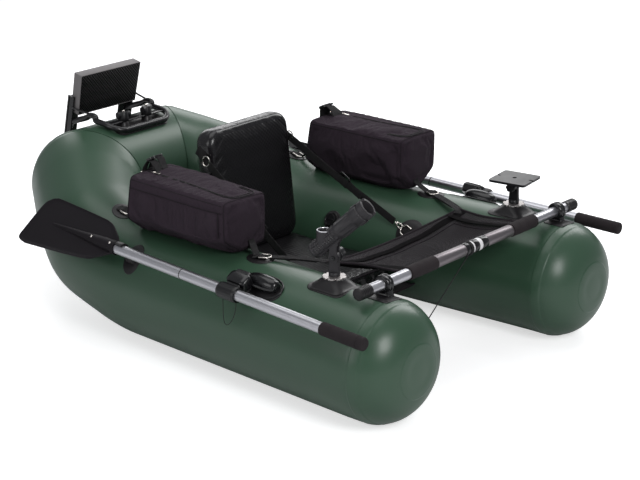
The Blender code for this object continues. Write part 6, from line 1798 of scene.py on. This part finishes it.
def make_oarlock(side, name):
    pin, swing, _, middle = lock_axes(side)
    dress(f"{name}_oarlock", FINISHES["plastic"], 0.0010)
    placement = frame_at(middle, oar_direction(side), pin)
    outward = 1 if axis_of(placement, 1).dot(swing) > 0 else -1
    cover = []
    for share, up in ((0.80, -0.0190), (0.93, -0.0185), (1.0, -0.0150), (1.0, 0.0055), (0.96, 0.0100),
                      (0.86, 0.0128), (0.60, 0.0140)):
        cover.append([placement @ Vector((u * share, v * share + outward * 0.0050, up))
                      for u, v in rounded(0.0340, 0.0190, 0.0120, 6)])
    add(f"{name}_lock_cover", [lofted(cover)], "glossy", f"{name}_oarlock", "black_plastic")
    base = patch_shape(side, LOCK_PATCH_AFT, LOCK_PATCH_LEAN, oval(0.092, 0.042, 64), 0.0032)
    boss = turned([(0.022, -0.052), (0.0175, -0.040), (0.0155, -0.030), (0.0150, -0.0205),
                   (0.0140, -0.0193), (0.001, -0.0193)], placement, 48)
    add(f"{name}_lock_patch", [base, boss], "rubber", "hull", "black_rubber", f"{name}_oarlock_base")
    frame_ring = [skin_point(side, LOCK_BEZEL_AFT + 0.058 * math.cos(a),
                             LOCK_BEZEL_LEAN + 0.034 * math.sin(a) / TUBE_RADIUS, 0.0030)
                  for a in whole_turn(56)]
    add(f"{name}_lock_bezel", [tube(frame_ring, 0.0028, 10, closed=True)], "plastic", "hull", "black_plastic")
    centre = skin_point(side, LOCK_CAPSULE_AFT, LOCK_CAPSULE_LEAN, 0.0120)
    rings = []
    for angle in spaced(-math.pi / 2 + 0.04, math.pi / 2 - 0.04, 24):
        reach = 0.0230 * math.cos(angle) ** 0.5
        along = 0.050 * math.sin(angle)
        rings.append((reach, along))
    normal = (centre - skin_point(side, LOCK_CAPSULE_AFT, LOCK_CAPSULE_LEAN)).normalized()
    capsule = turned(rings, frame_at(centre, normal, oar_direction(side)), 48)
    add(f"{name}_lock_capsule", [capsule], "glossy", "hull", "black_plastic")
    head = turned([(0.0060, -0.02), (0.0060, 0.0083), (0.0105, 0.0083), (0.0110, 0.0090), (0.0108, 0.0105),
                   (0.0085, 0.0120), (0.0045, 0.0125), (0.0005, 0.0125)], placement, 40)
    add(f"{name}_lock_pin", [head], "glossy", "hull", "black_plastic")


def make_clip(side, name):
    swing = lock_axes(side)[1]
    shaft = oar_point(side, CLIP_AFT)
    placement = frame_at(shaft, -swing, oar_direction(side))
    inner, wall, reach = 0.0157, 0.005, math.radians(88)
    angles = spaced(-reach, reach, 28)
    outline = [(inner * math.cos(a), inner * math.sin(a)) for a in angles]
    outline += [((inner + wall) * math.cos(a), (inner + wall) * math.sin(a)) for a in reversed(angles)]
    cradle = prism(outline, placement, -0.012, 0.012)
    down = skin_point(side, CLIP_AFT, CLIP_LEAN) - shaft
    post_frame = frame_at(shaft, oar_direction(side), -down)
    rings = []
    for share in spaced(0, 1, 8):
        flare = 1 + 0.7 * ease(share * 1.5 - 0.5)
        depth = inner + wall * 0.6 + (down.length - inner - wall * 0.6 + 0.003) * share
        rings.append([post_frame @ Vector((u * flare, v * flare, -depth))
                      for u, v in rounded(0.0108, 0.009, 0.002, 4)])
    patch = patch_shape(side, CLIP_AFT, CLIP_LEAN, oval(0.031, 0.046, 56))
    add(f"{name}_clip", [cradle, lofted(rings), patch], "rubber", "hull", "black_rubber", f"{name}_oar_clip")


# Stern mount

STERN_PAD_AFT = 1.412
STERN_PAD_OUTLINE = (0.104, 0.050, 0.022, 8)
STUD_AFT = 1.411
STUD_X = 0.048
FRAME_RADIUS = 0.009
FRAME_RIDE = 0.0140
FRAME_CORNER = 0.046
FRAME_ARCH_AFT = 1.479
FRAME_ARCH_LEVEL = 0.503
FRAME_FOOT_LEVEL = 0.452
FRAME_HALF_WIDTH = 0.118
FRAME_FRONT_AFT = 1.366
BOARD_AFT = 1.520
BOARD_LEVEL = 0.558
BOARD_BOTTOM_HALF = 0.1195
BOARD_TOP_HALF = 0.1235
BOARD_BOLT_X = 0.105
BOARD_TILT = math.radians(12)
BOARD_HEIGHT = 0.130
BOARD_THICKNESS = 0.034
UPRIGHT_TOP = -0.012
UPRIGHT_LENGTH = 0.140
UPRIGHT_THICKNESS = 0.005
UPRIGHT_OUTER_X = 0.1288
UPRIGHT_WIDTH = 0.043
STAY_RADIUS = 0.0030
BOLT_LEVELS = (-0.018, -0.052)


def stern_point(x, aft, lift):
    run = aft - STERN_AFT
    angle = run / TUBE_RADIUS
    reach = TUBE_RADIUS + lift
    return at(x, STERN_AFT + reach * math.sin(angle), hull_level(STERN_AFT) + reach * math.cos(angle))


def stern_skin(aft, ride):
    run = aft - STERN_AFT
    reach = TUBE_RADIUS + ride
    return hull_level(STERN_AFT) + math.sqrt(reach * reach - run * run)


def board_frame():
    front = Vector((0, -math.cos(BOARD_TILT), -math.sin(BOARD_TILT)))
    return frame_at(at(0, BOARD_AFT, BOARD_LEVEL), Vector((1, 0, 0)), front)


def make_stern_mount():
    rings = []
    for share, height in ((1.0, -0.0006), (1.0, 0.0008), (0.985, 0.0020), (0.955, 0.0030), (0.93, 0.0022),
                          (0.88, 0.0030), (0.6, 0.0032), (0.3, 0.0032), (0.02, 0.0032)):
        rings.append([stern_point(u * share, STERN_PAD_AFT + v * share, height)
                      for u, v in rounded(*STERN_PAD_OUTLINE)])
    shapes = [lofted(rings)]
    plate_low = stern_skin(STUD_AFT, FRAME_RIDE) - 0.002
    plate_high = plate_low + 0.004
    crest = hull_level(STERN_AFT) + TUBE_RADIUS
    for side in SIDES:
        stud = upright(side * STUD_X, STUD_AFT, 0)
        shapes.append(turned([(0.019, crest - 0.006), (0.0155, crest + 0.002), (0.0140, plate_low - 0.0016),
                              (0.0130, plate_low - 0.0003), (0.001, plate_low - 0.0003)], stud, 40))
    add("stern_mount_pad", shapes, "rubber", "hull", "black_rubber", "stern_pad")
    studs = [turned([(0.004, plate_low - 0.002), (0.004, plate_high + 0.0290), (0.003, plate_high + 0.0300),
                     (0.0004, plate_high + 0.0300)], upright(side * STUD_X, STUD_AFT, 0), 24)
             for side in SIDES]
    add("stern_studs", studs, "steel", "hull", "bright_steel")

    half = []
    for angle in spaced(0, math.pi / 2, 12):
        aft = FRAME_FRONT_AFT + FRAME_CORNER * (1 - math.cos(angle))
        half.append((FRAME_HALF_WIDTH - FRAME_CORNER * (1 - math.sin(angle)), aft,
                     stern_skin(aft, FRAME_RIDE)))
    crest_aft = STERN_AFT - FRAME_CORNER / 2
    foot_aft = (board_frame() @ Vector((0, -BOARD_HEIGHT / 2, -BOARD_THICKNESS))).y + HULL_LENGTH / 2
    for aft, level in ((crest_aft, stern_skin(crest_aft, FRAME_RIDE)),
                       (STERN_AFT + 0.012, FRAME_ARCH_LEVEL - 0.012),
                       (FRAME_ARCH_AFT - 0.020, FRAME_ARCH_LEVEL - 0.001),
                       (FRAME_ARCH_AFT + 0.002, FRAME_ARCH_LEVEL),
                       (FRAME_ARCH_AFT + 0.022, FRAME_ARCH_LEVEL - 0.011),
                       (foot_aft - 0.004, FRAME_ARCH_LEVEL - 0.034),
                       (foot_aft + FRAME_RADIUS, FRAME_FOOT_LEVEL)):
        half.append((FRAME_HALF_WIDTH, aft, level))
    left = [at(*place) for place in half]
    path = [Vector((-p.x, p.y, p.z)) for p in left][::-1] + left
    shapes = [tube(smooth_path(path, 6), FRAME_RADIUS, 20)]
    cross = upright(0, STUD_AFT, 0, Vector((1, 0, 0)))
    shapes.append(prism(rounded(FRAME_HALF_WIDTH, 0.011, 0.003, 4), cross, plate_low, plate_high, 0.0006))
    back = BOARD_THICKNESS + CLEARANCE
    bolts = []
    low = UPRIGHT_TOP - UPRIGHT_LENGTH
    cheek_frame = frame_at(board_frame().translation, axis_of(board_frame(), 2), Vector((1, 0, 0)))
    for side in SIDES:
        middle = side * (UPRIGHT_OUTER_X - UPRIGHT_WIDTH / 2)
        plate = board_frame() @ Matrix.Translation((middle, UPRIGHT_TOP - UPRIGHT_LENGTH / 2, 0))
        outline = rounded(UPRIGHT_WIDTH / 2, UPRIGHT_LENGTH / 2, 0.004, 4)
        shapes.append(prism(outline, plate, -back - UPRIGHT_THICKNESS, -back, 0.0008))
        outline = [(-0.019, -UPRIGHT_TOP), (-0.045, -UPRIGHT_TOP), (-0.045, -low), (-0.019, -low - 0.026)]
        sides = sorted((side * UPRIGHT_OUTER_X, side * (UPRIGHT_OUTER_X - UPRIGHT_THICKNESS)))
        shapes.append(prism(outline, cheek_frame, *sides, 0.0010))
        foot = at(side * FRAME_HALF_WIDTH, FRAME_ARCH_AFT, FRAME_ARCH_LEVEL)
        start = board_frame() @ Vector((side * UPRIGHT_OUTER_X, -0.045, -0.024))
        stay = [start, start * 0.7 + foot * 0.3 + Vector((side * 0.0006, 0, 0)), foot + UP * 0.004]
        shapes.append(tube(smooth_path(stay, 8), STAY_RADIUS, 12))
        for up in BOLT_LEVELS:
            head = Matrix.Translation((side * BOARD_BOLT_X, up, -back - UPRIGHT_THICKNESS))
            place = board_frame() @ head @ Matrix.Rotation(math.pi, 4, "X")
            bolts.append(turned([(0.0062, 0.0), (0.0058, 0.0014), (0.0040, 0.0026), (0.0004, 0.0030)],
                                place, 24))
    add("stern_tube_frame", shapes, "painted", "hull", "black_frame", "stern_frame")
    add("board_bolts", bolts, "steel", "hull", "bright_steel")

    for side, name in SIDES.items():
        placement = upright(side * STUD_X, STUD_AFT, 0, Vector((1, 0.25 * side, 0)))
        low = plate_high + CLEARANCE
        grip = [(0.0045, low), (0.0165, low), (0.0172, low + 0.002), (0.0160, low + 0.010),
                (0.0142, low + 0.021), (0.0125, low + 0.0250), (0.0045, low + 0.0260)]
        shapes = [turned(grip, placement, 40)]
        for turn in (0, math.pi):
            wing = placement @ Matrix.Rotation(turn, 4, "Z")
            rings = []
            for share in spaced(0, 1, 8):
                width = 0.0112 - 0.0018 * share
                height = 0.0124 - 0.0022 * share * share
                middle = Vector((0.006 + 0.0155 * share, 0, low + 0.0134 + 0.0020 * share))
                rings.append([wing @ (middle + Vector((0, width * math.cos(a), height * math.sin(a))))
                              for a in whole_turn(20)])
            shapes.append(lofted(rings))
        add(f"{name}_wing_knob", shapes, "plastic", f"{name}_clamp_knob", "black_plastic",
            f"{name}_clamp_knob")
    make_board()


def make_board():
    placement = board_frame()
    half = BOARD_HEIGHT / 2

    def outline(draw):
        points = []
        for x, v in ((-BOARD_BOTTOM_HALF, -half), (BOARD_BOTTOM_HALF, -half), (BOARD_TOP_HALF, half),
                     (-BOARD_TOP_HALF, half)):
            points.append(Vector((x - math.copysign(draw, x), v - math.copysign(draw, v), 0)))
        loop = []
        for index, point in enumerate(points):
            before, after = points[index - 1], points[(index + 1) % 4]
            radius = 0.003
            start = point + (before - point).normalized() * radius
            end = point + (after - point).normalized() * radius
            for share in spaced(0, 1, 5):
                loop.append(start * (1 - share) ** 2 + point * 2 * share * (1 - share) + end * share * share)
        return loop
    rings = []
    for draw, depth in ((0.06, -BOARD_THICKNESS), (0.0014, -BOARD_THICKNESS),
                        (0.0004, -BOARD_THICKNESS + 0.0008), (0, -BOARD_THICKNESS + 0.002), (0, -0.0012),
                        (0.0003, -0.0004), (0.0012, -0.0002), (0.0022, -0.0010), (0.0050, -0.0010)):
        rings.append([placement @ Vector((p.x, p.y, depth)) for p in outline(draw)])
    add("board_body", [lofted(rings)], "board", "hull", "grey_board", "transom_board")
    rings = [[placement @ Vector((p.x, p.y, depth)) for p in outline(draw)]
             for draw, depth in ((0.0025, -0.0020), (0.0025, -0.0004), (0.0032, 0.0), (0.03, 0.0),
                                 (0.06, 0.0))]
    add("board_face", [lofted(rings)], "tread", "hull", "grey_board")


# The whole tube

def make_all():
    make_finishes()
    
    make_studio()
    make_cords()
    make_hull()
    jobs = []
    make_floor()
    seat = make_cushion(jobs)
    back = make_backrest(jobs)
    make_bags(jobs)
    fill_out(jobs)
    dress_backrest(back)
    dress_cushion(seat)
    make_straps()
    make_valves()
    make_crossbar()
    make_apron()
    make_pads()
    make_rod_holder()
    make_finder_mount()
    for side, name in SIDES.items():
        make_oar(side, name)
        make_oarlock(side, name)
        make_clip(side, name)
    make_eyelet()
    make_stern_mount()


def make_eyelet():
    eyelet, _, run, *_ = bar_cord_ends()
    patch = patch_shape(RIGHT, EYELET_AFT, EYELET_LEAN, oval(0.024, 0.024, 48))
    button = turned([(0.0150, -0.002), (0.0142, 0.0030), (0.0110, 0.0048), (0.0070, 0.0060),
                     (0.0010, 0.0060)], frame_at(eyelet.translation, axis_of(eyelet, 0), -run), 40)
    add("line_eyelet", [patch, button], "rubber", "hull", "black_rubber", "cord_eyelet")


make_all()
